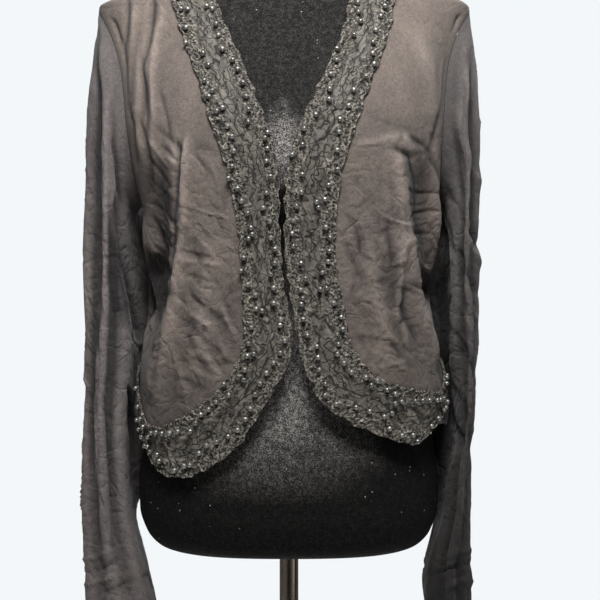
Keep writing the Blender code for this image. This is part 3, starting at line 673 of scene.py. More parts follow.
def form_section(angle, height):
    """Point of the dress form's surface."""
    side = FORM_SIDE(height)
    return rounded_section(angle, height, side, side, FORM_FRONT(height), FORM_BACK(height))


def coat_normal(angle, height):
    """Direction square to the smooth jacket surface, from points a small turn and lift away."""
    turn = 0.4
    lift = 0.0008
    across = coat_section(angle + turn, height) - coat_section(angle - turn, height)
    upward = coat_section(angle, height + lift) - coat_section(angle, height - lift)
    normal = np.cross(across, upward)
    return normal / np.linalg.norm(normal, axis=-1, keepdims=True)


def form_room(angle, height, base, normal):
    """Room between the jacket and the dress form, measured square to the cloth."""
    form = form_section(angle, height)
    plan = np.linalg.norm(base[..., :2], axis=-1) - np.linalg.norm(form[..., :2], axis=-1)
    out = base[..., :2] / np.linalg.norm(base[..., :2], axis=-1, keepdims=True)
    return np.maximum(plan * np.sum(out * normal[..., :2], axis=-1), 0.0)


def ridge_rise(angle, height, table):
    """Sum of soft ridges and troughs, each a line with a bell-shaped section and tapered ends."""
    total = np.zeros(np.broadcast(angle, height).shape)
    for start_angle, start_height, end_angle, end_height, half_width, rise in table:
        along = np.array([(end_angle - start_angle) * METRES_PER_DEGREE, end_height - start_height])
        length = np.linalg.norm(along)
        along = along / length
        x = (angle - start_angle) * METRES_PER_DEGREE
        z = height - start_height
        reach = (x * along[0] + z * along[1]) / length
        apart = np.abs(x * along[1] - z * along[0])
        total = total + rise * window(reach, -0.18, 0.28, 0.72, 1.18) * bell(apart / half_width)
    return total


def crease_rise(points, table):
    """Sum of short creases that are laid out in the front view."""
    near = VIEW_DISTANCE / (VIEW_DISTANCE + points[..., 1])
    across = VIEW_ACROSS + points[..., 0] * near / VIEW_STEP
    down = VIEW_DOWN - (points[..., 2] - VIEW_HEIGHT) * near / VIEW_STEP
    total = np.zeros(points.shape[:-1])
    for x1, y1, x2, y2, half_width, rise in table:
        length = math.hypot(x2 - x1, y2 - y1)
        way = ((x2 - x1) / length, (y2 - y1) / length)
        reach = ((across - x1) * way[0] + (down - y1) * way[1]) / length
        bend = 1.6 * np.sin(3.0 * reach + 0.37 * x1)
        apart = np.abs((across - x1) * way[1] - (down - y1) * way[0] + bend)
        ends = window(reach, -0.25, 0.25, 0.75, 1.25)
        total = total + rise * ends * np.exp(-((apart / (CREASE_WIDTH * half_width)) ** 1.5))
    return total


def edge_curve(table, columns):
    """Curve through two columns of a lace table, by the share of its length from 0 to 1."""
    rows = np.array(table)
    points = coat_section(rows[:, 0], rows[:, 1])
    run = np.concatenate([[0.0], np.cumsum(np.linalg.norm(np.diff(points, axis=0), axis=1))])
    share = run / run[-1]
    angle_at = smooth_curve(share, rows[:, columns[0]])
    height_at = smooth_curve(share, rows[:, columns[1]])
    return lambda s: np.stack([angle_at(s), height_at(s)], axis=-1), run[-1]


def band(table, share, across):
    """Angle and height on a lace band, across 0 at the free edge and 1 on the cloth."""
    free = edge_curve(table, (0, 1))[0]
    inner = edge_curve(table, (2, 3))[0]
    return free(share) * (1 - across) + inner(share) * across


def band_cut(table):
    """Mean width and length along the middle of a lace band, in metres."""
    share = np.linspace(0, 1, 200)
    lines = []
    for across in (0.0, 0.5, 1.0):
        spot = band(table, share, np.full((200, 1), across))
        lines.append(coat_section(spot[:, 0], spot[:, 1]))
    width = np.linalg.norm(lines[1] - lines[0], axis=1) + np.linalg.norm(lines[2] - lines[1], axis=1)
    length = np.linalg.norm(np.diff(lines[1], axis=0), axis=1).sum()
    return round(float(width.mean()), 3), round(float(length), 3)


def armhole_point(side, turn):
    """Angle and height on the armhole edge; turn 0 on the shoulder, 180 under the arm, front first."""
    middle, half, front, rear = ARMHOLE
    t = np.radians(turn)
    height = middle + half * np.cos(t)
    depth = np.where(np.sin(t) >= 0, front, rear) * np.sin(t)
    width = COAT_RIGHT(height) if side > 0 else COAT_LEFT(height)
    room = np.where(depth >= 0, COAT_FRONT(height), COAT_BACK(height))
    x = width * (1 - np.abs(depth / room) ** SECTION_POWER) ** (1 / SECTION_POWER)
    angle = np.degrees(np.arctan2(side * x, depth))
    if side < 0:
        angle = np.where(angle > 0, angle - 360, angle)
    return angle, height


def lace_cloud():
    """Points along the edges of all the lace bands on the cloth."""
    clouds = []
    for table in (LACE_LEFT, LACE_RIGHT, LACE_BACK_NECK, LACE_BACK_HEM):
        share = np.linspace(0, 1, 160)[:, None]
        place = band(table, share[:, 0], np.ones((160, 1)))
        clouds.append(coat_section(place[:, 0], place[:, 1]))
    return np.concatenate(clouds)


def armhole_cloud():
    """Points along both armhole seams."""
    turns = np.linspace(-180, 180, 121)
    clouds = [coat_section(*armhole_point(side, turns)) for side in (-1, 1)]
    return np.concatenate(clouds)


LACE_CLOUD = lace_cloud()
ARMHOLE_CLOUD = armhole_cloud()


def nearest_gap(points, cloud):
    """Distance from each point to the nearest point of a cloud, taken in small blocks."""
    flat = points.reshape(-1, 3)
    nearest = np.full(len(flat), 1.0)
    for start in range(0, len(cloud), 40):
        block = cloud[start : start + 40]
        gap = np.linalg.norm(flat[:, None, :] - block[None, :, :], axis=2).min(axis=1)
        nearest = np.minimum(nearest, gap)
    return nearest.reshape(points.shape[:-1])


def shared_sway(angle, height, base, normal):
    """Slow waves that the cloth and the lace on it share."""
    x = angle * METRES_PER_DEGREE
    waves = 0.0011 * soft_noise(x / 0.034, height / 0.055, 5)
    waves = waves + 0.0005 * soft_noise(x / 0.015, height / 0.026, 6)
    calm = smooth_step(nearest_gap(base, ARMHOLE_CLOUD), 0.002, 0.022)
    room = form_room(angle, height, base, normal)
    return waves * calm * smooth_step(room, 0.0035, 0.0090)


def box_mean(grid, reach, wrapped):
    """Mean of a grid over a square of 2 reach + 1 rows and columns; wrapped joins the columns' ends."""
    for axis in (0, 1):
        mode = "wrap" if wrapped and axis == 1 else "edge"
        wide = np.pad(grid, [(reach, reach) if a == axis else (0, 0) for a in (0, 1)], mode=mode)
        total = np.cumsum(wide, axis=axis)
        total = np.insert(total, 0, 0.0, axis=axis)
        size = 2 * reach + 1
        high = np.take(total, np.arange(size, total.shape[axis]), axis=axis)
        grid = (high - np.take(total, np.arange(total.shape[axis] - size), axis=axis)) / size
    return grid


def painted_crease_shade(lift, base=None, wrapped=False, reach=5):
    """Painted shade of creased cloth from 0 to 1: dark in troughs and where it turns away, pale on ridges."""
    near = box_mean(lift, 1, wrapped)
    broad = box_mean(box_mean(lift, reach, wrapped), reach, wrapped)
    shade = 0.55 + 40 * reach * (near - broad) + 32 * near
    if base is not None:
        step = np.linalg.norm(np.diff(base, axis=1), axis=-1).mean()
        outward = np.sign(np.gradient(np.abs(base[..., 0]), axis=1))
        fall = -np.gradient(near, axis=1) / step * outward
        shade = shade - 0.75 * np.clip(fall, -0.12, 0.9)
    return np.clip(shade, 0.0, 1.0)


def body_cloth(angle, height, seams, bare, wall, crinkle):
    """Outer and inner points of body cloth with its folds and creases, and the creases' painted shade.
    Bare is 0 where the cloth lies under the lace, which keeps it smooth there."""
    base = coat_section(angle, height)
    normal = coat_normal(angle, height)
    free = smooth_step(nearest_gap(base, LACE_CLOUD), 0.004, 0.040) * bare
    calm = smooth_step(nearest_gap(base, ARMHOLE_CLOUD), 0.0005, 0.010)
    rise = ridge_rise(angle, height, FOLDS) * free * seams
    ahead = smooth_step(-normal[..., 1], -0.05, 0.30)
    near_lace = smooth_step(nearest_gap(base, LACE_CLOUD), 0.001, 0.014) * bare
    drapes = DRAPE_SHARE * crease_rise(base, DRAPES)
    fine = CREASE_GAIN * (crease_rise(base, BODY_CREASES) + drapes) * ahead
    behind = smooth_step(normal[..., 1], -0.05, 0.30)
    turned = crease_rise(turned_round(base), BODY_CREASES + DRAPES)
    fine = fine + BACK_CREASE_SHARE * CREASE_GAIN * turned * behind
    x = angle * METRES_PER_DEGREE
    low = 0.22 + 0.78 * (1 - smooth_step(height, 1.15, 1.26))
    fine = fine + crinkle * low * crumple(0.7 * x + 0.45 * height, height, 0.026, 11)
    fine = fine + 0.5 * crinkle * low * crumple(x, height - 0.4 * x, 0.014, 14)
    fine = fine * near_lace * calm * smooth_step(seams, 0.0, 0.5)
    side = smooth_step(np.abs(normal[..., 0]), 0.75, 0.95)
    fine = np.where(fine > 0, fine * (1 - side), fine)
    room = form_room(angle, height, base, normal)
    total = rise + shared_sway(angle, height, base, normal)
    fine = np.maximum(fine, -np.maximum(room + total - wall - 0.0008, 0.0) * 0.6)
    lift = total + fine
    outer = base + normal * lift[..., None]
    return outer, outer - normal * wall, painted_crease_shade(lift, base) + painted_gap_shadow(base)


def numbered_mesh(name, points, quads, others=()):
    """A mesh from points, quads and faces with other counts of corners, with its faces turned outwards."""
    mesh = bpy.data.meshes.new(name)
    faces = [tuple(f) for f in np.asarray(quads).tolist()]
    faces += [tuple(int(n) for n in f) for f in others]
    mesh.from_pydata(np.asarray(points, float).tolist(), [], faces)
    work = bmesh.new()
    work.from_mesh(mesh)
    bmesh.ops.recalc_face_normals(work, faces=work.faces[:])
    work.to_mesh(mesh)
    work.free()
    mesh.polygons.foreach_set("use_smooth", np.ones(len(mesh.polygons), bool))
    item = bpy.data.objects.new(name, mesh)
    bpy.context.scene.collection.objects.link(item)
    return item


def store_uv(item, point_uv):
    """Writes a UV map, in metres along the cloth, from one pair of numbers for each point."""
    mesh = item.data
    layer = mesh.uv_layers.new(name="Cloth")
    corners = np.empty(len(mesh.loops), int)
    mesh.loops.foreach_get("vertex_index", corners)
    layer.data.foreach_set("uv", np.asarray(point_uv, np.float32)[corners].ravel())


def store_painted_shade(item, painted_shades):
    """Keeps each point's painted crease shade for the materials."""
    layer = item.data.attributes.new(name="PaintedShade", type="FLOAT", domain="POINT")
    layer.data.foreach_set("value", np.asarray(painted_shades, np.float32).ravel())


def soften(item, degrees):
    """Smooth shading, with sharp edges kept where faces meet at more than this angle."""
    make_active(item)
    bpy.ops.object.shade_smooth_by_angle(angle=math.radians(degrees))
    clear_selection()


def zip_rows(first, second):
    """Triangles between two open rows of point numbers that run the same way."""
    faces = []
    i = 0
    j = 0
    while i < len(first) - 1 or j < len(second) - 1:
        next_i = (i + 1) / (len(first) - 1) if i < len(first) - 1 else 2.0
        next_j = (j + 1) / (len(second) - 1) if j < len(second) - 1 else 2.0
        if next_i <= next_j:
            faces.append((first[i], first[i + 1], second[j]))
            i += 1
        else:
            faces.append((first[i], second[j + 1], second[j]))
            j += 1
    return faces


def grid_quads(grid):
    """Quads of a grid of point numbers."""
    corners = (grid[:-1, :-1], grid[1:, :-1], grid[1:, 1:], grid[:-1, 1:])
    return np.stack([c.ravel() for c in corners], axis=-1)


def sheet_piece(name, outer, inner, uv, painted_shades):
    """A thin closed wall between two grids with the same rows."""
    rows, wide = outer.shape[:2]
    thin = inner.shape[1]
    points = np.concatenate([outer.reshape(-1, 3), inner.reshape(-1, 3)])
    top = np.arange(rows * wide).reshape(rows, wide)
    low = rows * wide + np.arange(rows * thin).reshape(rows, thin)
    quads = [grid_quads(top), grid_quads(low)]
    for column in (0, -1):
        rim = (top[:-1, column], top[1:, column], low[1:, column], low[:-1, column])
        quads.append(np.stack(rim, axis=-1))
    ends = zip_rows(top[0], low[0]) + zip_rows(top[-1], low[-1])
    item = numbered_mesh(name, points, np.concatenate(quads), ends)
    spots = np.linspace(0, wide - 1, thin).round().astype(int)
    store_uv(item, np.concatenate([uv.reshape(-1, 2), uv[:, spots].reshape(-1, 2)]))
    store_painted_shade(item, np.concatenate([painted_shades.ravel(), np.full(rows * thin, SHEET_INSIDE)]))
    return item


def tube_piece(name, outer, inner, uv, painted_shades):
    """A thin open tube between two grids of rings."""
    rings, around = outer.shape[:2]
    points = np.concatenate([outer.reshape(-1, 3), inner.reshape(-1, 3)])
    first = np.arange(rings * around).reshape(rings, around)
    second = first + rings * around
    quads = []
    for grid in (first, second):
        quads.append(grid_quads(np.concatenate([grid, grid[:, :1]], axis=1)))
    for i in (0, rings - 1):
        after = np.roll(np.arange(around), -1)
        rim = (first[i], first[i, after], second[i, after], second[i])
        quads.append(np.stack(rim, axis=-1))
    item = numbered_mesh(name, points, np.concatenate(quads))
    store_uv(item, np.concatenate([uv.reshape(-1, 2), uv.reshape(-1, 2)]))
    store_painted_shade(item, np.concatenate([painted_shades.ravel(), np.full(rings * around, TUBE_INSIDE)]))
    return item


def seam_shift(points, direction):
    """Pulls the points of a shoulder or side seam just clear of the seam's middle line."""
    points[..., 1] = direction * SEAM
    return points


def cloth_uv(angle, height):
    """UV of body cloth, in metres."""
    return np.stack([angle * METRES_PER_DEGREE, height], axis=-1)


def front_panel(name, table, side, sizes):
    """One front, in rows from its free edge to the armhole and the side seam."""
    hole_rows = 160
    side_rows = 130
    turns = np.linspace(0, 180, hole_rows + 1)
    hole_angle, hole_height = armhole_point(side, turns)
    down = np.linspace(0, CORNER_SHARE, side_rows + 1)[1:]
    rows = np.concatenate([np.linspace(0, HOLE_SHARE, hole_rows + 1), HOLE_SHARE + (1 - HOLE_SHARE) * down])
    free = band(table, rows, np.full((len(rows), 1), PANEL_INSET))
    hem = band(table, 1.0, PANEL_INSET)[1]
    side_angle = np.concatenate([hole_angle, np.full(side_rows, 90.0 * side)])
    side_height = np.concatenate([hole_height, hole_height[-1] * (1 - down) + hem * down])
    u = np.linspace(0, 1, 141)[None, :]
    angle = free[:, 0:1] * (1 - u) + side_angle[:, None] * u
    height = free[:, 1:2] * (1 - u) + side_height[:, None] * u
    start = smooth_step(rows, 0.0, 0.06)[:, None]
    seams = start * (1 - smooth_step(u, 0.82, 1.0))
    lace = band(table, rows, np.ones((len(rows), 1)))
    reach = np.array([[METRES_PER_DEGREE, 1.0]])
    far = np.stack([side_angle, side_height], axis=-1)
    covered = np.linalg.norm((lace - free) * reach, axis=1) / np.linalg.norm((far - free) * reach, axis=1)
    bare = (u > covered[:, None]).astype(float)
    outer, inner, painted_shades = body_cloth(angle, height, seams, bare, sizes.wall, sizes.crinkle)
    for grid in (outer, inner):
        seam_shift(grid[0], -1)
        seam_shift(grid[hole_rows:, -1], -1)
    return sheet_piece(name, outer, inner[:, ::2], cloth_uv(angle, height), painted_shades)


def back_panel(name, sizes):
    """The back, in level rows from the shoulders past the armholes down to the hem."""
    u = np.linspace(0, 1, 161)
    top = np.linspace(1.4185, ARMHOLE[0] + ARMHOLE[1], 18)[:-1]
    turns = np.linspace(0, 180, 86)
    right, hole = armhole_point(1, -turns)
    left = armhole_point(-1, -turns)[0] + 360
    low = np.linspace(0, 1, 81)[1:, None]
    hem = band(LACE_BACK_HEM, u, np.full((len(u), 1), PANEL_INSET))[:, 1][None, :]
    shoulder = np.broadcast_to(90 + 180 * u, (len(top), len(u)))
    skirt = np.broadcast_to(90 + 180 * u, (len(low), len(u)))
    angle = np.concatenate([shoulder, right[:, None] * (1 - u) + left[:, None] * u, skirt])
    heights = (
        top[:, None] + 0.002 * np.sin(math.pi * u)[None, :],
        np.broadcast_to(hole[:, None], (len(turns), len(u))),
        hole[-1] * (1 - low) + hem * low,
    )
    height = np.concatenate(heights)
    seams = smooth_step(np.minimum(u, 1 - u), 0.0, 0.10)[None, :] + 0 * height
    bare = ((height > BACK_BARE[0]) & (height < BACK_BARE[1])).astype(float)
    outer, inner, painted_shades = body_cloth(angle, height, seams, bare, sizes.wall, sizes.crinkle)
    first = len(top)
    last = first + len(turns) - 1
    for grid in (outer, inner):
        for column in (0, -1):
            seam_shift(grid[: first + 1, column], 1)
            seam_shift(grid[last:, column], 1)
    return sheet_piece(name, outer, inner[:, ::2], cloth_uv(angle, height), painted_shades)


def painted_gap_shadow(points):
    """Painted shadow: how much darker the cloth is made in the deepest gaps between body and sleeves."""
    return 100 * crease_rise(points, PAINTED_GAP_SHADOWS) * smooth_step(-points[..., 1], -0.03, 0.0)


def turned_round(points):
    """The points turned half a turn about the upright axis, which gives the back the front's creases."""
    return points * np.array([-1.0, -1.0, 1.0])


def clear_of_body(points):
    """Moves a sleeve's points out to where they just clear the body, its folds, its lace and the form."""
    x, y, z = points[..., 0], points[..., 1], points[..., 2]
    angle = np.degrees(np.arctan2(x, -y))
    angle = np.where(angle < -90, angle + 360, angle)
    cloth = np.linalg.norm(coat_section(angle, z)[..., :2], axis=-1)
    folds = np.maximum(ridge_rise(angle, z, FOLDS), 0.0)
    laced = window(z, 0.925, 0.945, 1.006, 1.011)
    beaded = smooth_step(np.abs(np.abs(angle) - 90), 10.0, 18.0)
    cloth = cloth + CLOTH_ROOM + FOLD_ROOM * folds + (LACE_ROOM + BEAD_ROOM * beaded) * laced
    cloth = np.where((z > 0.93) & (z < 1.16), cloth, 0.0)
    form = np.linalg.norm(form_section(angle, np.maximum(z, FORM[0][0]))[..., :2], axis=-1)
    form = np.where(z > FORM[0][0], form + FORM_ROOM, 0.0)
    radius = np.linalg.norm(points[..., :2], axis=-1)
    limit = np.where(np.abs(angle) > 40, np.maximum(cloth, form), 0.0)
    out = np.maximum(limit / radius, 1.0)[..., None]
    return points * np.concatenate([out, out, np.ones_like(out)], axis=-1)


def sleeve_path(start, table, side, knots):
    """Smooth rings from the armhole's loop through a table's sections down to the cuff, and their steps."""
    turn = np.radians(knots)
    rings = [start]
    for outer_x, outer_z, inner_x, inner_z, front, rear, lean in table:
        x = (outer_x + inner_x) / 2 + (outer_x - inner_x) / 2 * np.cos(turn)
        x = x - lean * bell((knots - 222) / 34)
        z = (outer_z + inner_z) / 2 + (outer_z - inner_z) / 2 * np.cos(turn)
        y = -np.where(np.sin(turn) > 0, front, rear) * np.sin(turn)
        rings.append(np.stack([side * x, y, z], axis=-1))
    rings = np.array(rings)
    fine = np.linspace(0, len(rings) - 1, 230)
    path = np.empty((len(fine), len(knots), 3))
    for j in range(len(knots)):
        for axis in range(3):
            path[:, j, axis] = smooth_curve(np.arange(len(rings)), rings[:, j, axis])(fine)
    return path, (fine / fine[-1])[:, None]


def tube_normal(path):
    """Directions square to a tube of rings, outwards."""
    along = np.gradient(path, axis=0)
    normal = np.cross(np.roll(path, -1, axis=1) - np.roll(path, 1, axis=1), along)
    normal /= np.linalg.norm(normal, axis=-1, keepdims=True)
    middle = path.mean(axis=1, keepdims=True)
    return normal * np.sign(np.sum(normal * (path - middle), axis=-1, keepdims=True).mean())


def sleeve_fold_rise(knots, share):
    """Sum of the long folds at each angle round the sleeve and each share of its length."""
    rise = np.zeros((len(share), len(knots)))
    for top, cuff, half_width, height_of, begin, end in SLEEVE_FOLDS:
        centre = top * (1 - share) + cuff * share + 5 * np.sin(9 * share + top)
        apart = np.abs((knots[None, :] - centre + 180) % 360 - 180)
        ends = window(share, begin, begin + 0.12, end - 0.1, end + 0.1)
        rise = rise + height_of * ends * bell(apart / half_width)
    return rise


def sleeve_creases(path, normal, side, share, ring, breadth, sizes):
    """The placed creases and the seeded crumple of a sleeve; none stands up towards the body."""
    ahead = smooth_step(-normal[..., 1], -0.15, 0.25)
    behind = smooth_step(normal[..., 1], -0.15, 0.25)
    creases = crease_rise(path, SLEEVE_CREASES + DRAPES) * ahead
    creases = creases + crease_rise(turned_round(path), SLEEVE_CREASES + DRAPES) * behind
    creases = (1.15 if side < 0 else 1.55) * CREASE_GAIN * creases
    run = share * SLEEVE_LENGTH
    spiral = ring + 0.35 * run * side
    wave = crumple(spiral, 0.45 * run, 0.019, 21 + side)
    fine_wave = crumple(ring, run, 0.012, 24 + side)
    creases = creases + sizes.crinkle * (1.15 * wave + 0.35 * fine_wave)
    creases = creases * smooth_step(share, 0.01, 0.09)
    inward = smooth_step(-side * normal[..., 0], -0.1, 0.4)
    creases = np.where(creases > 0, creases * (1 - inward), creases)
    return creases * np.clip(breadth / 0.042, 0.7, 1.0)


def sleeve(name, table, side, sizes):
    """One hanging sleeve; side is -1 at the viewer's left and 1 at the right."""
    around = 140
    knots = np.arange(around) * 360.0 / around
    start = coat_section(*armhole_point(side, np.where(knots > 180, knots - 360, knots)))
    path, share = sleeve_path(start, table, side, knots)
    normal = tube_normal(path)
    breadth = np.abs(path[:, 0, 0] - path[:, around // 2, 0])[:, None]
    rise = sleeve_fold_rise(knots, share) * np.clip((breadth / 0.048) ** 2, 0.15, 1.0)
    run = share * SLEEVE_LENGTH
    ring = knots[None, :] / 360 * SLEEVE_GIRTH
    creases = sleeve_creases(path, normal, side, share, ring, breadth, sizes)
    hem = smooth_step(run, SLEEVE_LENGTH - 0.0195, SLEEVE_LENGTH - 0.0185) * 0.0004
    stitch = -0.0005 * bell((run - (SLEEVE_LENGTH - SLEEVE_HEM)) / 0.0012)
    lift = rise + creases + hem + stitch
    outer = clear_of_body(path + normal * lift[..., None])
    inner = outer - normal * sizes.wall
    outer[0] = start + np.array([side * 2 * SEAM, 0.0, 0.0])
    inwards = start.mean(axis=0) - start
    inwards[:, 0] = 0.0
    inwards /= np.linalg.norm(inwards, axis=-1, keepdims=True)
    inner[0] = outer[0] + inwards * sizes.wall
    uv = np.stack([ring + 0 * run, run + 0 * ring], axis=-1)
    # Painted shade of the sleeve's folds, calmer towards the cuff, and painted shadow in the gaps beside the
    # body
    painted_shades = painted_crease_shade(lift, wrapped=True, reach=7)
    painted_shades = 0.55 + (painted_shades - 0.55) * (0.8 - 0.35 * smooth_step(share, 0.5, 0.8)) + painted_gap_shadow(path)
    return tube_piece(name, outer, inner, uv, painted_shades)


def lace_edges(run):
    """Where the two scalloped edges lie at a run along the band, as shares across it."""
    wave = np.sin(math.pi * run / SCALLOP + 0.35 * np.sin(run * 61)) ** 2
    other = np.sin(math.pi * run / SCALLOP + 1.1 + 0.35 * np.sin(run * 47)) ** 2
    nick = 0.014 * soft_noise(run / 0.0042, 0 * run, 31) + 0.030 * soft_noise(run / 0.013, 0 * run, 33)
    other_nick = 0.014 * soft_noise(run / 0.0042, 0 * run + 9, 32)
    other_nick = other_nick + 0.030 * soft_noise(run / 0.013, 0 * run + 5, 34)
    depth = 0.6 * SCALLOP_SHARE
    return depth * wave + np.abs(nick) - 0.028, 1 - depth * other - np.abs(other_nick)


def lace_spot(table, share, across, lift):
    """Points over a lace band, lifted square off the smooth cloth and swaying with it."""
    spot = band(table, share, across[..., None])
    base = coat_section(spot[..., 0], spot[..., 1])
    normal = coat_normal(spot[..., 0], spot[..., 1])
    sway = shared_sway(spot[..., 0], spot[..., 1], base, normal)
    return base + normal * (lift + sway)[..., None], normal


def lace_band(name, table, end_shifts, seed, sizes):
    """One scalloped lace band with raised corded edges and a wrinkled net between them."""
    length = edge_curve(table, (0, 1))[1]
    steps = int(length / 0.00115)
    share = np.linspace(0, 1, steps + 1)
    run = share * length
    start, stop = lace_edges(run)
    wide = np.linspace(0, 1, 47)
    thin = np.linspace(0, 1, 5)
    across = start[:, None] + (stop - start)[:, None] * wide[None, :]
    below = start[:, None] + (stop - start)[:, None] * thin[None, :]
    metres = across * LACE_WIDTH
    along = run[:, None] + 0 * across
    inset = np.minimum(across - start[:, None], stop[:, None] - across) * LACE_WIDTH
    reach = 0.0150 + 0.0065 * soft_noise(along / 0.015, np.round(across) * 7, seed)
    zone = 1 - smooth_step(inset, reach - 0.004, reach + 0.002)
    knots = 0.5 + 0.5 * soft_noise(along / 0.0025, metres / 0.0025, seed + 1)
    loops = 1 - np.abs(soft_noise(along / 0.0068, metres / 0.0068, seed + 2)) * 2.6
    cluster = 0.0013 * knots**1.3 + 0.0010 * np.clip(loops, 0, 1)
    wrinkle = 0.4 - np.abs(soft_noise(along / 0.013, metres / 0.0048 + 40 * along, seed + 4))
    net = 0.00030 * soft_noise(along / 0.0026, metres / 0.0026, seed + 3) + 0.0013 * wrinkle
    rim = 0.0005 * bell((inset - 0.0011) / 0.0008)
    lift = LACE_LIFT + sizes.lace_net + cluster * zone * sizes.lace_relief + net + rim
    top = lace_spot(table, share[:, None] + 0 * across, across, lift)[0]
    low = lace_spot(table, share[:, None] + 0 * below, below, np.full(below.shape, LACE_LIFT))[0]
    for grid in (top, low):
        seam_shift(grid[0], end_shifts[0])
        seam_shift(grid[-1], end_shifts[1])
    uv = np.stack([along, metres], axis=-1)
    # Painted shade: the lace is paler where it stands up and darker where it dips
    broad = box_mean(box_mean(lift, 4, False), 4, False)
    painted_shades = np.clip(0.5 + 420 * (lift - broad), 0.0, 1.0)
    return sheet_piece(name, top, low, uv, painted_shades)


def tube_rings(path, normal, radius, sides):
    """Rings of a thin cord along a path, with the surface's normal to steer by."""
    way = np.gradient(path, axis=0)
    way /= np.linalg.norm(way, axis=-1, keepdims=True)
    across = np.cross(way, normal)
    across /= np.linalg.norm(across, axis=-1, keepdims=True)
    upward = np.cross(across, way)
    turn = np.arange(sides) * 2 * math.pi / sides
    ring = across[:, None, :] * np.cos(turn)[None, :, None]
    ring = ring + upward[:, None, :] * np.sin(turn)[None, :, None]
    return path[:, None, :] + radius * ring


def cord_faces(count, sides, first):
    """Quads and two end caps of a cord whose points are numbered from first."""
    grid = first + np.arange(count * sides).reshape(count, sides)
    quads = grid_quads(np.concatenate([grid, grid[:, :1]], axis=1))
    return quads, [tuple(grid[0]), tuple(grid[-1])]


def lace_cords(name, table, seed, sizes):
    """The thick threads that wind through the middle of a lace band."""
    length = edge_curve(table, (0, 1))[1]
    points = []
    quads = []
    caps = []
    first = 0
    sides = 5
    for strand in range(2):
        count = int(length / 0.0013)
        s = np.linspace(0.006, length - 0.006, count)
        phase = seed + 2.1 * strand
        period = 0.034 + 0.009 * strand
        sway = 0.0022 * np.sin(2 * math.pi * s / (period * 0.31) + 1.3 * phase)
        run = np.clip(s + sway, 0.004, length - 0.004)
        across = 0.43 + 0.13 * strand + 0.055 * np.sin(2 * math.pi * s / period + phase)
        across = across + 0.075 * soft_noise(s / 0.0105, 0 * s + strand, seed + 40)
        lift = LACE_LIFT + sizes.lace_net + sizes.cord_radius * (0.5 + 0.35 * strand) + 0 * s
        path, normal = lace_spot(table, run / length, across, lift)
        rings = tube_rings(path, normal, sizes.cord_radius, sides)
        more, ends = cord_faces(count, sides, first)
        points.append(rings.reshape(-1, 3))
        quads.append(more)
        caps += ends
        first += count * sides
    return numbered_mesh(name, np.concatenate(points), np.concatenate(quads), caps)


def pick(item, kind, test):
    """In edit mode, selects just the points, edges or faces that pass a test."""
    bpy.ops.mesh.select_mode(type=kind)
    bpy.ops.mesh.select_all(action="DESELECT")
    work = bmesh.from_edit_mesh(item.data)
    for part in {"VERT": work.verts, "EDGE": work.edges, "FACE": work.faces}[kind]:
        part.select = bool(test(part))
    work.select_flush_mode()
    bmesh.update_edit_mesh(item.data)


def bead_model(diameter):
    """One round bead with a thread hole, shaped from a sphere; returns its points and faces."""
    clear_selection()
    bpy.ops.mesh.primitive_uv_sphere_add(segments=10, ring_count=6, radius=diameter / 2)
    item = bpy.context.object
    bpy.ops.object.mode_set(mode="EDIT")
    for up in (1, -1):
        pick(item, "VERT", lambda v: v.co.z * up > diameter * 0.49)
        bpy.ops.transform.translate(value=(0, 0, -up * diameter * 0.10))
    bpy.ops.object.mode_set(mode="OBJECT")
    points = np.array([v.co[:] for v in item.data.vertices])
    faces = [tuple(p.vertices) for p in item.data.polygons]
    bpy.data.objects.remove(item, do_unlink=True)
    return points, faces


def bead_spots(length, seed, bare_ends):
    """Run along the band and share across it of each bead, in two wandering rows, with bare ends."""
    chance = np.random.RandomState(seed)
    spots = []
    for row, middle in enumerate((0.23, 0.77)):
        run = 0.006 + 0.005 * row
        while run < length - 0.006:
            wander = 0.085 * math.sin(run * 71 + 2.3 * row + seed) + chance.uniform(-0.055, 0.055)
            hang = chance.uniform()
            across = middle + wander
            if hang < 0.07:
                across = 0.05 if row == 0 else 0.955
            spots.append((run, across))
            if chance.uniform() < 0.13:
                way = chance.uniform(0, math.pi)
                beside = (0.0062 * math.cos(way), 0.124 * math.sin(way) * (1 - 2 * row))
                spots.append((run + beside[0], across + beside[1]))
                run += 0.004
            run += chance.uniform(0.0105, 0.0175)
    return [(r, a) for r, a in spots if bare_ends[0] < r < length - bare_ends[1]]


def bead_rows(name, table, seed, sizes, bare_ends):
    """All the beads of one lace band."""
    length = edge_curve(table, (0, 1))[1]
    model, model_faces = bead_model(sizes.bead_diameter)
    spots = np.array(bead_spots(length, seed, bare_ends))
    rise = LACE_LIFT + sizes.lace_net + 0.0005 + 0.46 * sizes.bead_diameter
    centre, normal = lace_spot(table, spots[:, 0] / length, spots[:, 1], np.full(len(spots), rise))
    chance = np.random.RandomState(seed + 7)
    points = []
    faces = []
    for i in range(len(spots)):
        axis = normal[i] + chance.uniform(-0.7, 0.7, 3)
        axis /= np.linalg.norm(axis)
        side = np.cross(axis, (0.31, 0.05, 0.95))
        side /= np.linalg.norm(side)
        frame_of = np.array([side, np.cross(axis, side), axis])
        size = chance.uniform(0.93, 1.05)
        first = len(model) * i
        points.append(centre[i] + size * model @ frame_of)
        faces += [tuple(n + first for n in face) for face in model_faces]
    return numbered_mesh(name, np.concatenate(points), (), faces)


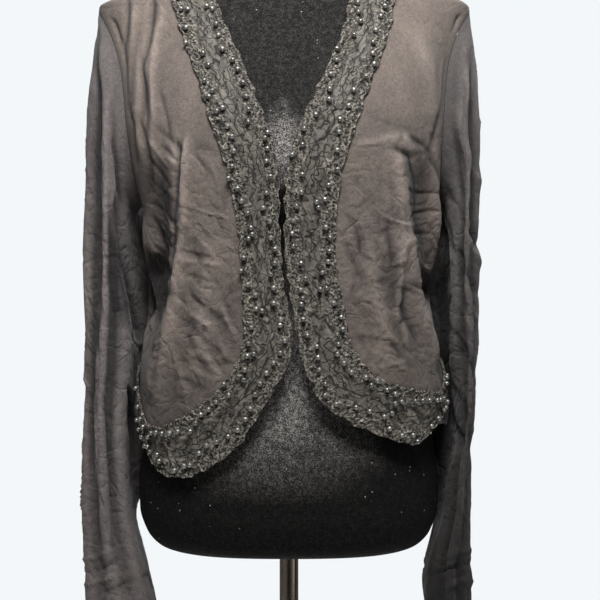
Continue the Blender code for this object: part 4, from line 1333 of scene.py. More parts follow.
def torso(name, slack):
    """The velvet dress form, a little slack inside the cloth, with a socket for the pole."""
    around = 112
    angle = np.arange(around) * 360.0 / around
    low = FORM[0][0]
    hips = 0.845
    shoulders = 1.36
    runs = ((low, hips, 26), (hips, shoulders, 84), (shoulders, FORM[-1][0], 44))
    heights = np.concatenate([np.linspace(*run)[:-1] for run in runs[:-1]] + [np.linspace(*runs[-1])])
    hole = POLE_RADIUS + SOCKET_CLEARANCE
    turn = np.radians(angle)
    rings = []
    for height in (low + SOCKET_DEPTH, low):
        ring = [hole * np.sin(turn), -hole * np.cos(turn), np.full(around, height)]
        rings.append(np.stack(ring, axis=-1))
    for height in heights:
        ring = form_section(angle, np.full(around, height))
        reach = np.linalg.norm(ring[:, :2], axis=-1, keepdims=True)
        covered = 0.0 if height < 0.93 or height > 1.43 else slack
        ring[:, :2] *= (reach - covered) / reach
        rings.append(ring)
    rings = np.array(rings)
    count = len(rings)
    grid = np.arange(count * around).reshape(count, around)
    quads = grid_quads(np.concatenate([grid, grid[:, :1]], axis=1))
    caps = [tuple(grid[0]), tuple(grid[-1])]
    return numbered_mesh(name, rings.reshape(-1, 3), quads, caps)


def level_ring(edge, radius, height):
    """Whether an edge lies on a level circle of this radius and height round the pole's axis."""
    ends = [v.co for v in edge.verts]
    same_height = all(abs(c.z - height) < 1e-5 for c in ends)
    return same_height and all(abs(math.hypot(c.x, c.y) - radius) < 1e-4 for c in ends)


def settle(item):
    """Puts a modelled piece's place into its mesh and leaves its object at the origin."""
    make_active(item)
    bpy.ops.object.transform_apply(location=True, rotation=True, scale=True)
    soften(item, 35)


def add_cylinder(name, vertices, radius, depth, middle):
    """A cylinder on the stand's axis, with its middle at a height."""
    clear_selection()
    place = (0, 0, middle)
    bpy.ops.mesh.primitive_cylinder_add(vertices=vertices, radius=radius, depth=depth, location=place)
    bpy.context.object.name = name
    return bpy.context.object


def model_pole(name):
    """The pole, from the base's socket to the form's, with bevelled ends."""
    foot = HUB_TOP - SOCKET_DEPTH + SOCKET_CLEARANCE
    head = FORM[0][0] + SOCKET_DEPTH - SOCKET_CLEARANCE
    item = add_cylinder(name, 64, POLE_RADIUS, head - foot, (foot + head) / 2)
    half = (head - foot) / 2
    bpy.ops.object.mode_set(mode="EDIT")
    pick(item, "EDGE", lambda e: level_ring(e, POLE_RADIUS, half) or level_ring(e, POLE_RADIUS, -half))
    bpy.ops.mesh.bevel(offset=0.0008, segments=3)
    bpy.ops.object.mode_set(mode="OBJECT")
    settle(item)
    return item


def model_base(name):
    """The round base, raised to a hub with a socket for the pole."""
    item = add_cylinder(name, 128, BASE_RADIUS, BASE_EDGE, BASE_EDGE / 2)
    bpy.ops.object.transform_apply(location=True)
    bpy.ops.object.mode_set(mode="EDIT")
    pick(item, "FACE", lambda f: f.normal.z > 0.9)
    rim = 0.004
    slope = 0.012
    rise = 0.003
    bpy.ops.mesh.inset(thickness=rim)
    bpy.ops.mesh.inset(thickness=BASE_RADIUS - rim - HUB_RADIUS - slope)
    bpy.ops.transform.translate(value=(0, 0, rise))
    bpy.ops.mesh.inset(thickness=slope)
    bpy.ops.mesh.extrude_region_move(TRANSFORM_OT_translate={"value": (0, 0, HUB_TOP - BASE_EDGE - rise)})
    hole = POLE_RADIUS + SOCKET_CLEARANCE
    bpy.ops.mesh.inset(thickness=HUB_RADIUS - hole)
    bpy.ops.mesh.extrude_region_move(TRANSFORM_OT_translate={"value": (0, 0, -SOCKET_DEPTH)})
    pick(item, "EDGE", lambda e: level_ring(e, BASE_RADIUS, 0) or level_ring(e, BASE_RADIUS, BASE_EDGE))
    bpy.ops.mesh.bevel(offset=0.0018, segments=4)
    pick(item, "EDGE", lambda e: level_ring(e, HUB_RADIUS, HUB_TOP))
    bpy.ops.mesh.bevel(offset=0.003, segments=4)
    bpy.ops.object.mode_set(mode="OBJECT")
    settle(item)
    return item


def new_group(name, inputs, outputs):
    """A shader node group with named sockets, and its input and output nodes."""
    group = bpy.data.node_groups.new(name, "ShaderNodeTree")
    for label, kind, default in inputs:
        socket = group.interface.new_socket(name=label, in_out="INPUT", socket_type=kind)
        if default is not None:
            socket.default_value = default
    for label, kind in outputs:
        group.interface.new_socket(name=label, in_out="OUTPUT", socket_type=kind)
    start = group.nodes.new("NodeGroupInput")
    end = group.nodes.new("NodeGroupOutput")
    return group, start, end


def feed(tree, socket, value):
    """Links a socket to another one, or gives it a plain number or colour."""
    if isinstance(value, bpy.types.NodeSocket):
        tree.links.new(value, socket)
    else:
        socket.default_value = value


def set_inputs(made, values):
    """Gives a node's sockets plain values, by their names."""
    for label, value in values.items():
        made.inputs[label].default_value = value


def node(tree, kind, **values):
    """A new node with some of its settings."""
    made = tree.nodes.new(kind)
    for key, value in values.items():
        setattr(made, key, value)
    return made


def math_node(tree, operation, first, second=None):
    """A Math node whose inputs are sockets or plain numbers; returns its output."""
    made = node(tree, "ShaderNodeMath", operation=operation)
    for socket, value in zip(made.inputs, (first, second)):
        if value is not None:
            feed(tree, socket, value)
    return made.outputs[0]


def times(tree, first, second):
    return math_node(tree, "MULTIPLY", first, second)


def plus(tree, first, second):
    return math_node(tree, "ADD", first, second)


def map_range(tree, value, low, high, to_low=0.0, to_high=1.0):
    """A Map Range node from low and high to two new ends; returns its output."""
    made = tree.nodes.new("ShaderNodeMapRange")
    tree.links.new(value, made.inputs["Value"])
    set_inputs(made, {"From Min": low, "From Max": high, "To Min": to_low, "To Max": to_high})
    return made.outputs[0]


def noise(tree, vector, scale, detail=2.0, roughness=0.5):
    """A Noise Texture node; returns its grey output."""
    made = tree.nodes.new("ShaderNodeTexNoise")
    tree.links.new(vector, made.inputs["Vector"])
    feed(tree, made.inputs["Scale"], scale)
    set_inputs(made, {"Detail": detail, "Roughness": roughness})
    return made.outputs["Fac"]


def fibre_grain_group():
    """Fine fibres of a knitted or napped cloth, as a shade and a height."""
    inputs = (("Vector", "NodeSocketVector", None), ("Scale", "NodeSocketFloat", 1.0))
    outputs = (("Shade", "NodeSocketFloat"), ("Height", "NodeSocketFloat"))
    group, start, end = new_group("Fibre grain", inputs, outputs)
    vector = start.outputs["Vector"]
    near = times(group, start.outputs["Scale"], 1050.0)
    broad = times(group, start.outputs["Scale"], 260.0)
    fuzz = noise(group, vector, near, 3.0, 0.65)
    pile = noise(group, vector, broad, 2.0, 0.55)
    fuzz_part = times(group, fuzz, 0.75)
    pile_part = times(group, pile, 0.25)
    group.links.new(plus(group, fuzz_part, pile_part), end.inputs["Shade"])
    group.links.new(fuzz, end.inputs["Height"])
    return group


def colour_drift_group():
    """Slow change of shade over a piece, from worn and chafed cloth."""
    inputs = (("Vector", "NodeSocketVector", None), ("Size", "NodeSocketFloat", 12.0))
    group, start, end = new_group("Colour drift", inputs, (("Shade", "NodeSocketFloat"),))
    drift = noise(group, start.outputs["Vector"], start.outputs["Size"], 3.0, 0.5)
    group.links.new(map_range(group, drift, 0.30, 0.70), end.inputs["Shade"])
    return group


def lint_group():
    """Scattered pale specks of lint."""
    inputs = (("Vector", "NodeSocketVector", None), ("Density", "NodeSocketFloat", 120.0))
    group, start, end = new_group("Lint", inputs, (("Mask", "NodeSocketFloat"),))
    cells = node(group, "ShaderNodeTexVoronoi", feature="F1")
    group.links.new(start.outputs["Vector"], cells.inputs["Vector"])
    group.links.new(start.outputs["Density"], cells.inputs["Scale"])
    speck = map_range(group, cells.outputs["Distance"], 0.10, 0.05)
    split = node(group, "ShaderNodeSeparateColor")
    group.links.new(cells.outputs["Color"], split.inputs[0])
    rare = math_node(group, "GREATER_THAN", split.outputs[0], 0.72)
    group.links.new(times(group, speck, rare), end.inputs["Mask"])
    return group


def put_group(tree, group, vector, **values):
    """A node group placed in a material, with its own values."""
    made = node(tree, "ShaderNodeGroup", node_tree=group)
    tree.links.new(vector, made.inputs["Vector"])
    set_inputs(made, values)
    return made


def blend_colours(tree, factor, first, second, mode="MIX"):
    """Mix of two colours that are sockets or plain colours; returns its output."""
    made = node(tree, "ShaderNodeMix", data_type="RGBA", blend_type=mode)
    feed(tree, made.inputs["Factor"], factor)
    for socket, value in zip(made.inputs[6:8], (first, second)):
        plain = not isinstance(value, bpy.types.NodeSocket)
        feed(tree, socket, (*value[:3], 1.0) if plain else value)
    return made.outputs[2]


def multiplied(tree, first, second):
    """The product of two colours."""
    return blend_colours(tree, 1.0, first, second, "MULTIPLY")


def new_material(name):
    """A material, its node tree, its shader and the piece's own coordinates."""
    material = bpy.data.materials.new(name)
    material.use_nodes = True
    tree = material.node_tree
    shader = next(n for n in tree.nodes if n.type == "BSDF_PRINCIPLED")
    coordinates = tree.nodes.new("ShaderNodeTexCoord")
    return material, tree, shader, coordinates.outputs["Object"]


def bump(tree, shader, height, strength, distance):
    """Leads a height to the shader's normal."""
    made = tree.nodes.new("ShaderNodeBump")
    set_inputs(made, {"Strength": strength, "Distance": distance})
    tree.links.new(height, made.inputs["Height"])
    tree.links.new(made.outputs["Normal"], shader.inputs["Normal"])


def shaded(colour, share):
    """A colour made darker or paler."""
    return tuple(c * share for c in colour[:3])


def crumple_group():
    """Small soft creases of worn cloth in all directions, as a height."""
    inputs = (("Vector", "NodeSocketVector", None), ("Scale", "NodeSocketFloat", 1.0))
    group, start, end = new_group("Crumple", inputs, (("Height", "NodeSocketFloat"),))
    vector = start.outputs["Vector"]
    warp = node(group, "ShaderNodeTexNoise")
    set_inputs(warp, {"Scale": 28.0})
    group.links.new(vector, warp.inputs["Vector"])
    bent = node(group, "ShaderNodeVectorMath", operation="MULTIPLY_ADD")
    group.links.new(warp.outputs["Color"], bent.inputs[0])
    bent.inputs[1].default_value = (0.030, 0.030, 0.030)
    group.links.new(vector, bent.inputs[2])
    heights = []
    for size, share in ((42.0, 1.0), (95.0, 0.42)):
        scale = times(group, start.outputs["Scale"], size)
        field = noise(group, bent.outputs["Vector"], scale, 1.0, 0.4)
        away = math_node(group, "ABSOLUTE", math_node(group, "SUBTRACT", field, 0.5))
        heights.append(times(group, map_range(group, away, 0.0, 0.11), share))
    group.links.new(plus(group, heights[0], heights[1]), end.inputs["Height"])
    return group


def painted_shade_value(tree):
    """The painted crease shade that the mesh keeps for each point."""
    made = node(tree, "ShaderNodeAttribute", attribute_name="PaintedShade")
    return made.outputs["Fac"]


def jersey_material(name, colour, low, high):
    """Worn jersey, its colour multiplied by low at the foot of the painted light heights and by high at the
    top: painted shade below, painted light above.
    """
    material, tree, shader, body = new_material(name)
    grain = put_group(tree, GROUPS["grain"], body, Scale=1.0)
    drift = put_group(tree, GROUPS["drift"], body, Size=16.0)
    creased = put_group(tree, GROUPS["crumple"], body, Scale=1.0).outputs["Height"]
    cloth = node(tree, "ShaderNodeUVMap", uv_map="Cloth")
    wales = node(tree, "ShaderNodeTexWave", wave_type="BANDS", bands_direction="X")
    tree.links.new(cloth.outputs["UV"], wales.inputs["Vector"])
    set_inputs(wales, {"Scale": 170.0, "Distortion": 1.5, "Detail": 1.0})
    fibres = map_range(tree, grain.outputs["Shade"], 0.30, 0.70)
    plain = blend_colours(tree, fibres, shaded(colour, 0.50), shaded(colour, 1.50))
    worn = blend_colours(tree, drift.outputs["Shade"], (0.88, 0.88, 0.89), (1.10, 1.08, 1.05))
    plain = multiplied(tree, plain, worn)
    # Painted shade in creases and gaps, and painted light on ridges, from the mesh's painted crease shade
    painted_dip_shade = blend_colours(tree, painted_shade_value(tree), (0.17, 0.17, 0.18), (1.50, 1.49, 1.48))
    plain = multiplied(tree, plain, painted_dip_shade)
    # Painted light: darker at the bottom and paler at the top, as the light falls from above
    place = node(tree, "ShaderNodeSeparateXYZ")
    tree.links.new(body, place.inputs["Vector"])
    upward = map_range(tree, place.outputs["Z"], *PAINTED_LIGHT_HEIGHTS)
    painted_height_light = blend_colours(tree, upward, (low, low, low), (high, high, high))
    plain = multiplied(tree, plain, painted_height_light)
    # Painted shade along the fine crumple's crease lines, fading out up the chest
    crumpled = map_range(tree, place.outputs["Z"], *CALM_HEIGHTS, 1.0, 0.2)
    lines = blend_colours(tree, map_range(tree, creased, 0.0, 0.5), (0.87, 0.87, 0.87), (1.02, 1.02, 1.02))
    lines = blend_colours(tree, crumpled, (1.0, 1.0, 1.0), lines)
    creased = times(tree, creased, crumpled)
    tree.links.new(multiplied(tree, plain, lines), shader.inputs["Base Color"])
    tree.links.new(map_range(tree, grain.outputs["Shade"], 0.2, 0.8, 0.92, 0.78), shader.inputs["Roughness"])
    ribs = times(tree, wales.outputs["Fac"], 0.10)
    fine = plus(tree, ribs, grain.outputs["Height"])
    height = plus(tree, times(tree, fine, 0.4), creased)
    bump(tree, shader, height, 0.8, 0.0010)
    set_inputs(shader, {"Sheen Weight": 0.10, "Sheen Roughness": 0.5, "Specular IOR Level": 0.25})
    return material


def thread_line(tree, phase, width):
    """A thin dark line wherever a phase passes a whole number: 0 on it, 1 away from it."""
    part = math_node(tree, "FRACT", phase)
    away = math_node(tree, "ABSOLUTE", math_node(tree, "SUBTRACT", part, 0.5))
    return map_range(tree, away, width * 0.4, width)


def lace_material(colour):
    """Lace with knotted, holed edges and fine threads that wind over a net in the middle, and painted shade
    in its dips.
    """
    material, tree, shader, body = new_material("Corded lace")
    cloth = node(tree, "ShaderNodeUVMap", uv_map="Cloth").outputs["UV"]
    split = node(tree, "ShaderNodeSeparateXYZ")
    tree.links.new(cloth, split.inputs[0])
    swirl = times(tree, noise(tree, cloth, 46.0, 2.0, 0.55), 4.0)
    rows = times(tree, split.outputs["Y"], 90.0)
    lengthwise = thread_line(tree, plus(tree, swirl, rows), 0.12)
    loops = thread_line(tree, times(tree, noise(tree, cloth, 70.0, 1.0, 0.5), 5.5), 0.10)
    outline = math_node(tree, "MINIMUM", lengthwise, loops)
    net = node(tree, "ShaderNodeTexVoronoi", feature="DISTANCE_TO_EDGE")
    set_inputs(net, {"Scale": 520.0})
    tree.links.new(cloth, net.inputs["Vector"])
    mesh_gap = map_range(tree, net.outputs["Distance"], 0.04, 0.22)
    knots = noise(tree, cloth, 410.0, 3.0, 0.75)
    from_middle = math_node(tree, "SUBTRACT", split.outputs["Y"], LACE_WIDTH / 2)
    from_middle = math_node(tree, "ABSOLUTE", from_middle)
    waver = noise(tree, cloth, 62.0, 1.0, 0.5)
    edge = plus(tree, from_middle, times(tree, waver, 0.014))
    zone = map_range(tree, edge, 0.0140, 0.0190)
    speckle = map_range(tree, knots, 0.43, 0.59)
    corded = blend_colours(tree, speckle, shaded(colour, 0.05), shaded(colour, 2.25))
    lines = blend_colours(tree, outline, shaded(colour, 0.20), shaded(colour, 1.10))
    netted = blend_colours(tree, mesh_gap, shaded((1.0, 1.0, 1.0), 1.04), shaded((1.0, 1.0, 1.0), 0.72))
    middle = multiplied(tree, lines, netted)
    both = blend_colours(tree, zone, middle, corded)
    drift = put_group(tree, GROUPS["drift"], body, Size=38.0)
    uneven = blend_colours(tree, drift.outputs["Shade"], (0.82, 0.82, 0.83), (1.14, 1.14, 1.10))
    both = multiplied(tree, both, uneven)
    # Painted shade in the lace's dips and painted light on its lumps
    painted_dip_shade = blend_colours(tree, painted_shade_value(tree), (0.20, 0.20, 0.20), (1.80, 1.80, 1.78))
    tree.links.new(multiplied(tree, both, painted_dip_shade), shader.inputs["Base Color"])
    raised = times(tree, speckle, zone)
    flat = times(tree, outline, math_node(tree, "SUBTRACT", 1.0, zone))
    height = plus(tree, raised, times(tree, flat, 0.6))
    bump(tree, shader, height, 0.8, 0.0013)
    set_inputs(shader, {"Roughness": 0.62, "Specular IOR Level": 0.35})
    return material


def cord_material(colour):
    """Twisted thread."""
    material, tree, shader, body = new_material("Lace cord")
    twist = noise(tree, body, 1500.0, 1.0, 0.6)
    shade = blend_colours(tree, map_range(tree, twist, 0.35, 0.65), shaded(colour, 0.5), shaded(colour, 1.3))
    tree.links.new(shade, shader.inputs["Base Color"])
    set_inputs(shader, {"Roughness": 0.6})
    bump(tree, shader, twist, 0.4, 0.0003)
    return material


def bead_material(colour):
    """Dark beads with a glossy, metallic glaze."""
    material, tree, shader, body = new_material("Glossy bead")
    film = noise(tree, body, 160.0, 2.0, 0.5)
    tint = blend_colours(tree, map_range(tree, film, 0.4, 0.6), shaded(colour, 0.7), shaded(colour, 1.3))
    tree.links.new(tint, shader.inputs["Base Color"])
    tree.links.new(map_range(tree, film, 0.3, 0.7, 0.24, 0.34), shader.inputs["Roughness"])
    set_inputs(shader, {"Metallic": 0.6, "Specular IOR Level": 0.9})
    set_inputs(shader, {"Coat Weight": 1.0, "Coat Roughness": 0.05})
    return material


def velvet_material(colour):
    """Black velvet with a painted sheen low on the front and at the foot of the neckline, and painted light
    over the chest.
    """
    material, tree, shader, body = new_material("Black velvet")
    grain = put_group(tree, GROUPS["grain"], body, Scale=0.8)
    drift = put_group(tree, GROUPS["drift"], body, Size=14.0)
    lint = put_group(tree, GROUPS["lint"], body, Density=130.0)
    dust = put_group(tree, GROUPS["lint"], body, Density=310.0)
    specks = times(tree, dust.outputs["Mask"], 0.22)
    specks = math_node(tree, "MAXIMUM", lint.outputs["Mask"], specks)
    split = node(tree, "ShaderNodeSeparateXYZ")
    tree.links.new(body, split.inputs[0])
    side = math_node(tree, "ABSOLUTE", plus(tree, split.outputs["X"], 0.004))
    uneven = times(tree, drift.outputs["Shade"], 0.040)
    side = plus(tree, side, uneven)
    height = split.outputs["Z"]
    # Painted sheen: a pale patch low on the middle of the front, and another at the foot of the neckline
    middle = map_range(tree, side, 0.035, 0.115, 1.0, 0.0)
    above = times(tree, map_range(tree, height, 0.86, 0.97), middle)
    below = map_range(tree, height, 1.06, 1.13, 1.0, 0.0)
    painted_sheen = times(tree, above, below)
    painted_neck_sheen = map_range(tree, side, 0.010, 0.040, 1.0, 0.0)
    painted_neck_sheen = times(tree, painted_neck_sheen, map_range(tree, height, 1.17, 1.20))
    painted_neck_sheen = times(tree, painted_neck_sheen, map_range(tree, height, 1.235, 1.27, 1.0, 0.0))
    ahead = map_range(tree, split.outputs["Y"], 0.03, -0.03)
    # Painted sheen, only on the front
    pale = times(tree, math_node(tree, "MAXIMUM", painted_sheen, painted_neck_sheen), 0.190)
    pale = times(tree, pale, ahead)
    # Painted light: the velvet is paler over the chest
    dust_and_top_light = times(tree, map_range(tree, height, 1.12, 1.22), 0.015)
    level = plus(tree, plus(tree, pale, dust_and_top_light), 0.006)
    speckle = map_range(tree, grain.outputs["Shade"], 0.46, 0.66, 0.30, 3.6)
    nap_and_sheen = blend_colours(tree, times(tree, level, speckle), (0.0, 0.0, 0.0), (1.0, 0.95, 0.90))
    tinted = blend_colours(tree, 0.25, nap_and_sheen, colour)
    tree.links.new(blend_colours(tree, specks, tinted, (0.42, 0.40, 0.38)), shader.inputs["Base Color"])
    bump(tree, shader, grain.outputs["Height"], 0.5, 0.0008)
    set_inputs(shader, {"Roughness": 0.85, "Specular IOR Level": 0.10})
    return material


def chrome_material(colour):
    """Polished chrome with fine lines along the pole and faint smears."""
    material, tree, shader, body = new_material("Chromed steel")
    stretch = node(tree, "ShaderNodeMapping")
    set_inputs(stretch, {"Scale": (1.0, 1.0, 0.05)})
    tree.links.new(body, stretch.inputs["Vector"])
    lines = noise(tree, stretch.outputs["Vector"], 900.0, 2.0, 0.6)
    smears = noise(tree, body, 40.0, 3.0, 0.5)
    tint = blend_colours(tree, smears, shaded(colour, 0.85), shaded(colour, 1.05))
    tree.links.new(tint, shader.inputs["Base Color"])
    halves = [times(tree, part, 0.5) for part in (lines, smears)]
    mixed = plus(tree, *halves)
    tree.links.new(map_range(tree, mixed, 0.3, 0.7, 0.08, 0.22), shader.inputs["Roughness"])
    set_inputs(shader, {"Metallic": 1.0})
    bump(tree, shader, lines, 0.05, 0.0003)
    return material


def base_material(colour):
    """Satin paint with a little dust."""
    material, tree, shader, body = new_material("Satin black paint")
    peel = noise(tree, body, 420.0, 2.0, 0.5)
    dust = noise(tree, body, 14.0, 4.0, 0.6)
    dust_and_top_light = map_range(tree, dust, 0.45, 0.75, 0.0, 0.35)
    tree.links.new(blend_colours(tree, dust_and_top_light, colour, shaded(colour, 3.0)), shader.inputs["Base Color"])
    tree.links.new(map_range(tree, dust, 0.3, 0.7, 0.34, 0.52), shader.inputs["Roughness"])
    bump(tree, shader, peel, 0.15, 0.0004)
    return material


def floor_material(colour):
    """A plain floor with a very faint cloudiness."""
    material, tree, shader, body = new_material("Pale floor")
    cloudy = noise(tree, body, 2.2, 3.0, 0.5)
    tree.links.new(blend_colours(tree, cloudy, shaded(colour, 0.97), colour), shader.inputs["Base Color"])
    set_inputs(shader, {"Roughness": 0.7})
    return material


GROUPS = {}
MATERIALS = {}

# Lace bands: piece, its solid, table, way its ends are pulled off the seams, seed,
# lengths without beads at both ends, and the panel that carries it
LACE_BANDS = (
    ("left_front_lace", "lace_left", LACE_LEFT, (-1, -1), 3, (0.004, 0.040), "left_front_panel"),
    ("right_front_lace", "lace_right", LACE_RIGHT, (-1, -1), 17, (0.004, 0.040), "right_front_panel"),
    ("back_neck_lace", "lace_back_neck", LACE_BACK_NECK, (1, 1), 29, (0.004, 0.004), "back_panel"),
    ("back_hem_lace", "lace_back_hem", LACE_BACK_HEM, (1, 1), 41, (0.066, 0.056), "back_panel"),
)


def finish_piece(item, material, node_name=None):
    """Gives a piece its material and its body, and hides the solid that it stands for."""
    item.data.materials.clear()
    item.data.materials.append(material)
    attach(item, "root")
    if node_name:
        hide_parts(node_name)
    return item


def colour_value(name, description, default):
    """A colour that a user can change."""
    return bpy.props.FloatVectorProperty(
        name=name, description=description, subtype="COLOR", size=3, min=0.0, max=1.0, default=default
    )


def length_value(name, description, default):
    """A length that a user can change."""
    return bpy.props.FloatProperty(
        name=name, description=description, default=default, min=0.0, unit="LENGTH", precision=5
    )


def power_value(name, description, default):
    """A light's power that a user can change."""
    return bpy.props.FloatProperty(name=name, description=description, default=default, min=0.0, unit="POWER")


class BoleroClothSettings(bpy.types.PropertyGroup):
    """Sizes of the cloth, the lace and the beads"""

    wall: length_value("Jersey thickness", "Thickness of the jersey", 0.0011)
    crinkle: length_value("Crinkle depth", "Depth of the fine crinkles in the jersey", 0.0026)
    lace_net: length_value("Lace thickness", "Thickness of the lace's net", 0.0007)
    cord_radius: length_value("Cord radius", "Half the thickness of the lace's winding cords", 0.00036)
    bead_diameter: length_value("Bead diameter", "Diameter of a bead", 0.0056)
    lace_relief: bpy.props.FloatProperty(
        name="Lace relief", description="How far the corded edges stand up", default=1.0, min=0.0, max=2.0
    )


class BoleroColourSettings(bpy.types.PropertyGroup):
    """Colours of the cloth, the beads and the stand"""

    jersey: colour_value("Jersey", "Colour of the jersey panels", (0.150, 0.126, 0.112))
    # The sleeves' colours are darker copies of the jersey's: painted shade for sleeves that turn away from
    # the light, the right one darker still
    sleeve_left: colour_value("Left sleeve", "Colour of the left sleeve's jersey", (0.100, 0.090, 0.088))
    sleeve_right: colour_value("Right sleeve", "Colour of the right sleeve's jersey", (0.070, 0.064, 0.062))
    lace: colour_value("Lace", "Colour of the lace", (0.125, 0.113, 0.098))
    cord: colour_value("Cord", "Colour of the winding cords in the lace", (0.030, 0.027, 0.024))
    bead: colour_value("Beads", "Colour of the beads", (0.23, 0.226, 0.210))
    velvet: colour_value("Velvet", "Colour of the dress form", (0.012, 0.0112, 0.0108))
    chrome: colour_value("Pole", "Colour of the chromed pole", (0.80, 0.67, 0.54))
    base: colour_value("Base", "Colour of the painted base", (0.020, 0.020, 0.020))


class BoleroStageSettings(bpy.types.PropertyGroup):
    """Colours and lights of the stage"""

    floor: colour_value("Floor", "Colour of the floor", (0.93, 0.93, 0.92))
    backdrop: colour_value("Backdrop", "Colour behind the object", (0.896, 0.930, 0.947))
    key_power: power_value("Key light", "Power of the main light", 28.0)
    fill_power: power_value("Fill light", "Power of the side light", 1.0)
    back_power: power_value("Back light", "Power of the light behind", 62.0)
    top_power: power_value("Top light", "Power of the light from above", 8.0)
    ambient: bpy.props.FloatProperty(
        name="Ambient light",
        description="Strength of the light from all round",
        default=0.13,
        min=0.0,
        max=2.0,
    )


class BOLERO_OT_materials(bpy.types.Operator):
    """Make the materials and the node groups that they share"""

    bl_idname = "bolero.materials"
    bl_label = "Materials"

    def execute(self, context):
        colours = context.scene.bolero_colours
        GROUPS["grain"] = fibre_grain_group()
        GROUPS["drift"] = colour_drift_group()
        GROUPS["lint"] = lint_group()
        GROUPS["crumple"] = crumple_group()
        # Painted light: each jersey's colour is scaled by the first number at the foot of the painted light
        # heights and by the second at the top
        cloths = (
            ("jersey", "Black jersey", colours.jersey, 0.58, 1.17),
            ("left_sleeve", "Black jersey left sleeve", colours.sleeve_left, 1.30, 1.32),
            ("right_sleeve", "Black jersey right sleeve", colours.sleeve_right, 0.20, 1.52),
        )
        for piece, name, colour, low, high in cloths:
            MATERIALS[piece] = jersey_material(name, colour, low, high)
        MATERIALS["lace"] = lace_material(colours.lace)
        MATERIALS["cord"] = cord_material(colours.cord)
        MATERIALS["bead"] = bead_material(colours.bead)
        MATERIALS["velvet"] = velvet_material(colours.velvet)
        MATERIALS["chrome"] = chrome_material(colours.chrome)
        MATERIALS["base"] = base_material(colours.base)
        return {"FINISHED"}


class BOLERO_OT_dress_form(bpy.types.Operator):
    """Make the limbless velvet dress form"""

    bl_idname = "bolero.dress_form"
    bl_label = "Dress Form"

    def execute(self, context):
        finish_piece(torso("velvet_torso", 0.0010), MATERIALS["velvet"], "form_torso")
        return {"FINISHED"}


class BOLERO_OT_stand(bpy.types.Operator):
    """Model the pole and the round base"""

    bl_idname = "bolero.stand"
    bl_label = "Stand"

    def execute(self, context):
        finish_piece(model_pole("chrome_pole"), MATERIALS["chrome"], "stand_pole")
        finish_piece(model_base("round_base"), MATERIALS["base"], "stand_base")
        return {"FINISHED"}


class BOLERO_OT_panels(bpy.types.Operator):
    """Make the two fronts and the back"""

    bl_idname = "bolero.panels"
    bl_label = "Panels"

    def execute(self, context):
        sizes = context.scene.bolero_cloth
        pieces = (
            (front_panel("left_front_panel", LACE_LEFT, -1, sizes), "front_left"),
            (front_panel("right_front_panel", LACE_RIGHT, 1, sizes), "front_right"),
            (back_panel("back_panel", sizes), "back"),
        )
        for item, solid in pieces:
            soften(item, 60)
            finish_piece(item, MATERIALS["jersey"], solid)
        return {"FINISHED"}


class BOLERO_OT_sleeves(bpy.types.Operator):
    """Make the two hanging sleeves"""

    bl_idname = "bolero.sleeves"
    bl_label = "Sleeves"

    def execute(self, context):
        sizes = context.scene.bolero_cloth
        pieces = (
            (sleeve("left_sleeve", SLEEVE_LEFT, -1, sizes), "sleeve_left"),
            (sleeve("right_sleeve", SLEEVE_RIGHT, 1, sizes), "sleeve_right"),
        )
        for item, solid in pieces:
            soften(item, 60)
            finish_piece(item, MATERIALS[item.name], solid)
        return {"FINISHED"}


class BOLERO_OT_lace(bpy.types.Operator):
    """Make the four scalloped lace bands, their cords and their beads"""

    bl_idname = "bolero.lace"
    bl_label = "Lace and Beads"

    def execute(self, context):
        sizes = context.scene.bolero_cloth
        for name, solid, table, end_shifts, seed, bare_ends, _ in LACE_BANDS:
            item = lace_band(name, table, end_shifts, seed, sizes)
            soften(item, 75)
            finish_piece(item, MATERIALS["lace"], solid)
            cords = lace_cords(name + "_cords", table, seed, sizes)
            finish_piece(cords, MATERIALS["cord"])
            beads = bead_rows(name + "_beads", table, seed, sizes, bare_ends)
            finish_piece(beads, MATERIALS["bead"])
        return {"FINISHED"}


class BOLERO_OT_sheets(bpy.types.Operator):
    """Work out the mean width and length of each lace band, without keeping them"""

    bl_idname = "bolero.sheets"
    bl_label = "Flat Cuts"

    def execute(self, context):
        for name, _, table, _, _, _, panel in LACE_BANDS:
            band_cut(table)
        return {"FINISHED"}


class BOLERO_OT_stage(bpy.types.Operator):
    """Make the pale floor, the soft lights, the backdrop colour and the camera"""

    bl_idname = "bolero.stage"
    bl_label = "Stage"

    def execute(self, context):
        settings = context.scene.bolero_stage
        make_floor(settings.floor)
        make_light("Key light", (0.04, -0.84, 2.20), 1.40, (0.6, 0.45), settings.key_power)
        make_light("Fill light", (1.9, -1.1, 1.5), 1.10, (1.2, 1.6), settings.fill_power)
        make_light("Back light", (0.2, 2.2, 2.2), 1.15, (2.2, 1.6), settings.back_power)
        make_light("Top light", (0.15, 0.35, 2.75), 1.35, (1.2, 1.2), settings.top_power)
        make_world(settings.backdrop, settings.ambient)
        make_camera()
        context.scene.view_settings.view_transform = "Standard"
        return {"FINISHED"}


def make_floor(colour):
    """A round floor slab just under the stand."""
    clear_selection()
    bpy.ops.mesh.primitive_circle_add(vertices=128, radius=3.2, fill_type="NGON", location=(0, 0, -0.0002))
    floor = bpy.context.object
    floor.name = "floor"
    bpy.ops.object.mode_set(mode="EDIT")
    bpy.ops.mesh.select_all(action="SELECT")
    bpy.ops.mesh.extrude_region_move(TRANSFORM_OT_translate={"value": (0, 0, -0.02)})
    bpy.ops.mesh.select_all(action="SELECT")
    bpy.ops.mesh.normals_make_consistent(inside=False)
    bpy.ops.object.mode_set(mode="OBJECT")
    bpy.ops.object.transform_apply(location=True)
    floor.data.materials.append(floor_material(colour))
    clear_selection()


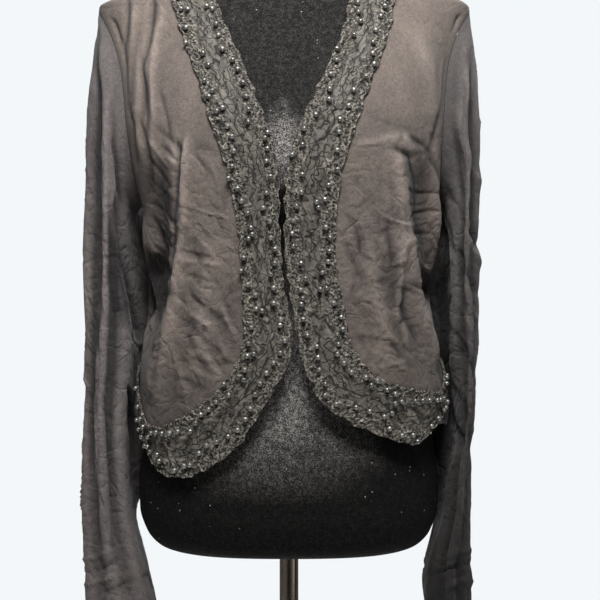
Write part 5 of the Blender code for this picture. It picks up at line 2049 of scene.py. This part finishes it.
def make_light(name, place, target_height, size, power):
    """A soft rectangular light that points at a height on the stand's axis."""
    light = bpy.data.lights.new(name, "AREA")
    light.shape = "RECTANGLE"
    light.size, light.size_y = size
    light.energy = power
    item = bpy.data.objects.new(name, light)
    bpy.context.scene.collection.objects.link(item)
    item.location = place
    way = Vector((0.0, 0.0, target_height)) - Vector(place)
    item.rotation_euler = way.to_track_quat("-Z", "Y").to_euler()


def make_world(backdrop, ambient):
    """A pale backdrop for the eye and a softer light, dimmer from straight ahead, for the object."""
    world = bpy.data.worlds.new("Studio")
    bpy.context.scene.world = world
    world.use_nodes = True
    tree = world.node_tree
    tree.nodes.clear()
    output = node(tree, "ShaderNodeOutputWorld")
    seen = node(tree, "ShaderNodeBackground")
    set_inputs(seen, {"Color": (*backdrop, 1.0)})
    lit = node(tree, "ShaderNodeBackground")
    set_inputs(lit, {"Strength": ambient})
    way = node(tree, "ShaderNodeTexCoord")
    split = node(tree, "ShaderNodeSeparateXYZ")
    tree.links.new(way.outputs["Generated"], split.inputs[0])
    upward = map_range(tree, split.outputs["Z"], -0.2, 0.9, 0.45, 1.35)
    ahead = map_range(tree, split.outputs["Y"], -1.0, -0.80, 0.12, 1.0)
    level = times(tree, upward, ahead)
    scaled = node(tree, "ShaderNodeVectorMath", operation="SCALE")
    scaled.inputs[0].default_value = (0.97, 0.98, 1.0)
    tree.links.new(level, scaled.inputs["Scale"])
    tree.links.new(scaled.outputs[0], lit.inputs["Color"])
    path = node(tree, "ShaderNodeLightPath")
    choice = node(tree, "ShaderNodeMixShader")
    tree.links.new(path.outputs["Is Camera Ray"], choice.inputs[0])
    tree.links.new(lit.outputs[0], choice.inputs[1])
    tree.links.new(seen.outputs[0], choice.inputs[2])
    tree.links.new(choice.outputs[0], output.inputs["Surface"])


def make_camera():
    """The camera of the front view, level and straight ahead."""
    camera = bpy.data.cameras.new("Front camera")
    camera.sensor_width = 36.0
    camera.lens = camera.sensor_width * VIEW_DISTANCE / (VIEW_WIDTH * VIEW_STEP)
    item = bpy.data.objects.new("Front camera", camera)
    bpy.context.scene.collection.objects.link(item)
    item.location = ((VIEW_WIDTH / 2 - VIEW_ACROSS) * VIEW_STEP, -VIEW_DISTANCE, VIEW_HEIGHT)
    item.rotation_euler = (math.radians(90), 0.0, 0.0)
    bpy.context.scene.camera = item


class BOLERO_PT_panel(bpy.types.Panel):
    """Steps and settings of the bolero jacket"""

    bl_idname = "BOLERO_PT_panel"
    bl_label = "Bolero Jacket"
    bl_space_type = "VIEW_3D"
    bl_region_type = "UI"
    bl_category = "Bolero"

    def draw(self, context):
        layout = self.layout
        for operator in OPERATORS:
            layout.operator(operator.bl_idname)
        for label, _ in SETTINGS:
            settings = getattr(context.scene, label)
            box = layout.box()
            for value in settings.bl_rna.properties.keys():
                if value not in {"rna_type", "name"}:
                    box.prop(settings, value)


OPERATORS = (
    BOLERO_OT_materials,
    BOLERO_OT_dress_form,
    BOLERO_OT_stand,
    BOLERO_OT_panels,
    BOLERO_OT_sleeves,
    BOLERO_OT_lace,
    BOLERO_OT_sheets,
    BOLERO_OT_stage,
)
SETTINGS = (
    ("bolero_cloth", BoleroClothSettings),
    ("bolero_colours", BoleroColourSettings),
    ("bolero_stage", BoleroStageSettings),
)


def register():
    for label, group in SETTINGS:
        bpy.utils.register_class(group)
        setattr(bpy.types.Scene, label, bpy.props.PointerProperty(type=group))
    for operator in OPERATORS:
        bpy.utils.register_class(operator)
    bpy.utils.register_class(BOLERO_PT_panel)


def unregister():
    bpy.utils.unregister_class(BOLERO_PT_panel)
    for operator in reversed(OPERATORS):
        bpy.utils.unregister_class(operator)
    for label, group in reversed(SETTINGS):
        delattr(bpy.types.Scene, label)
        bpy.utils.unregister_class(group)


def main():
    register()
    bpy.ops.bolero.materials()
    bpy.ops.bolero.dress_form()
    bpy.ops.bolero.stand()
    bpy.ops.bolero.panels()
    bpy.ops.bolero.sleeves()
    bpy.ops.bolero.lace()
    bpy.ops.bolero.sheets()
    bpy.ops.bolero.stage()


if __name__ == "__main__":
    main()
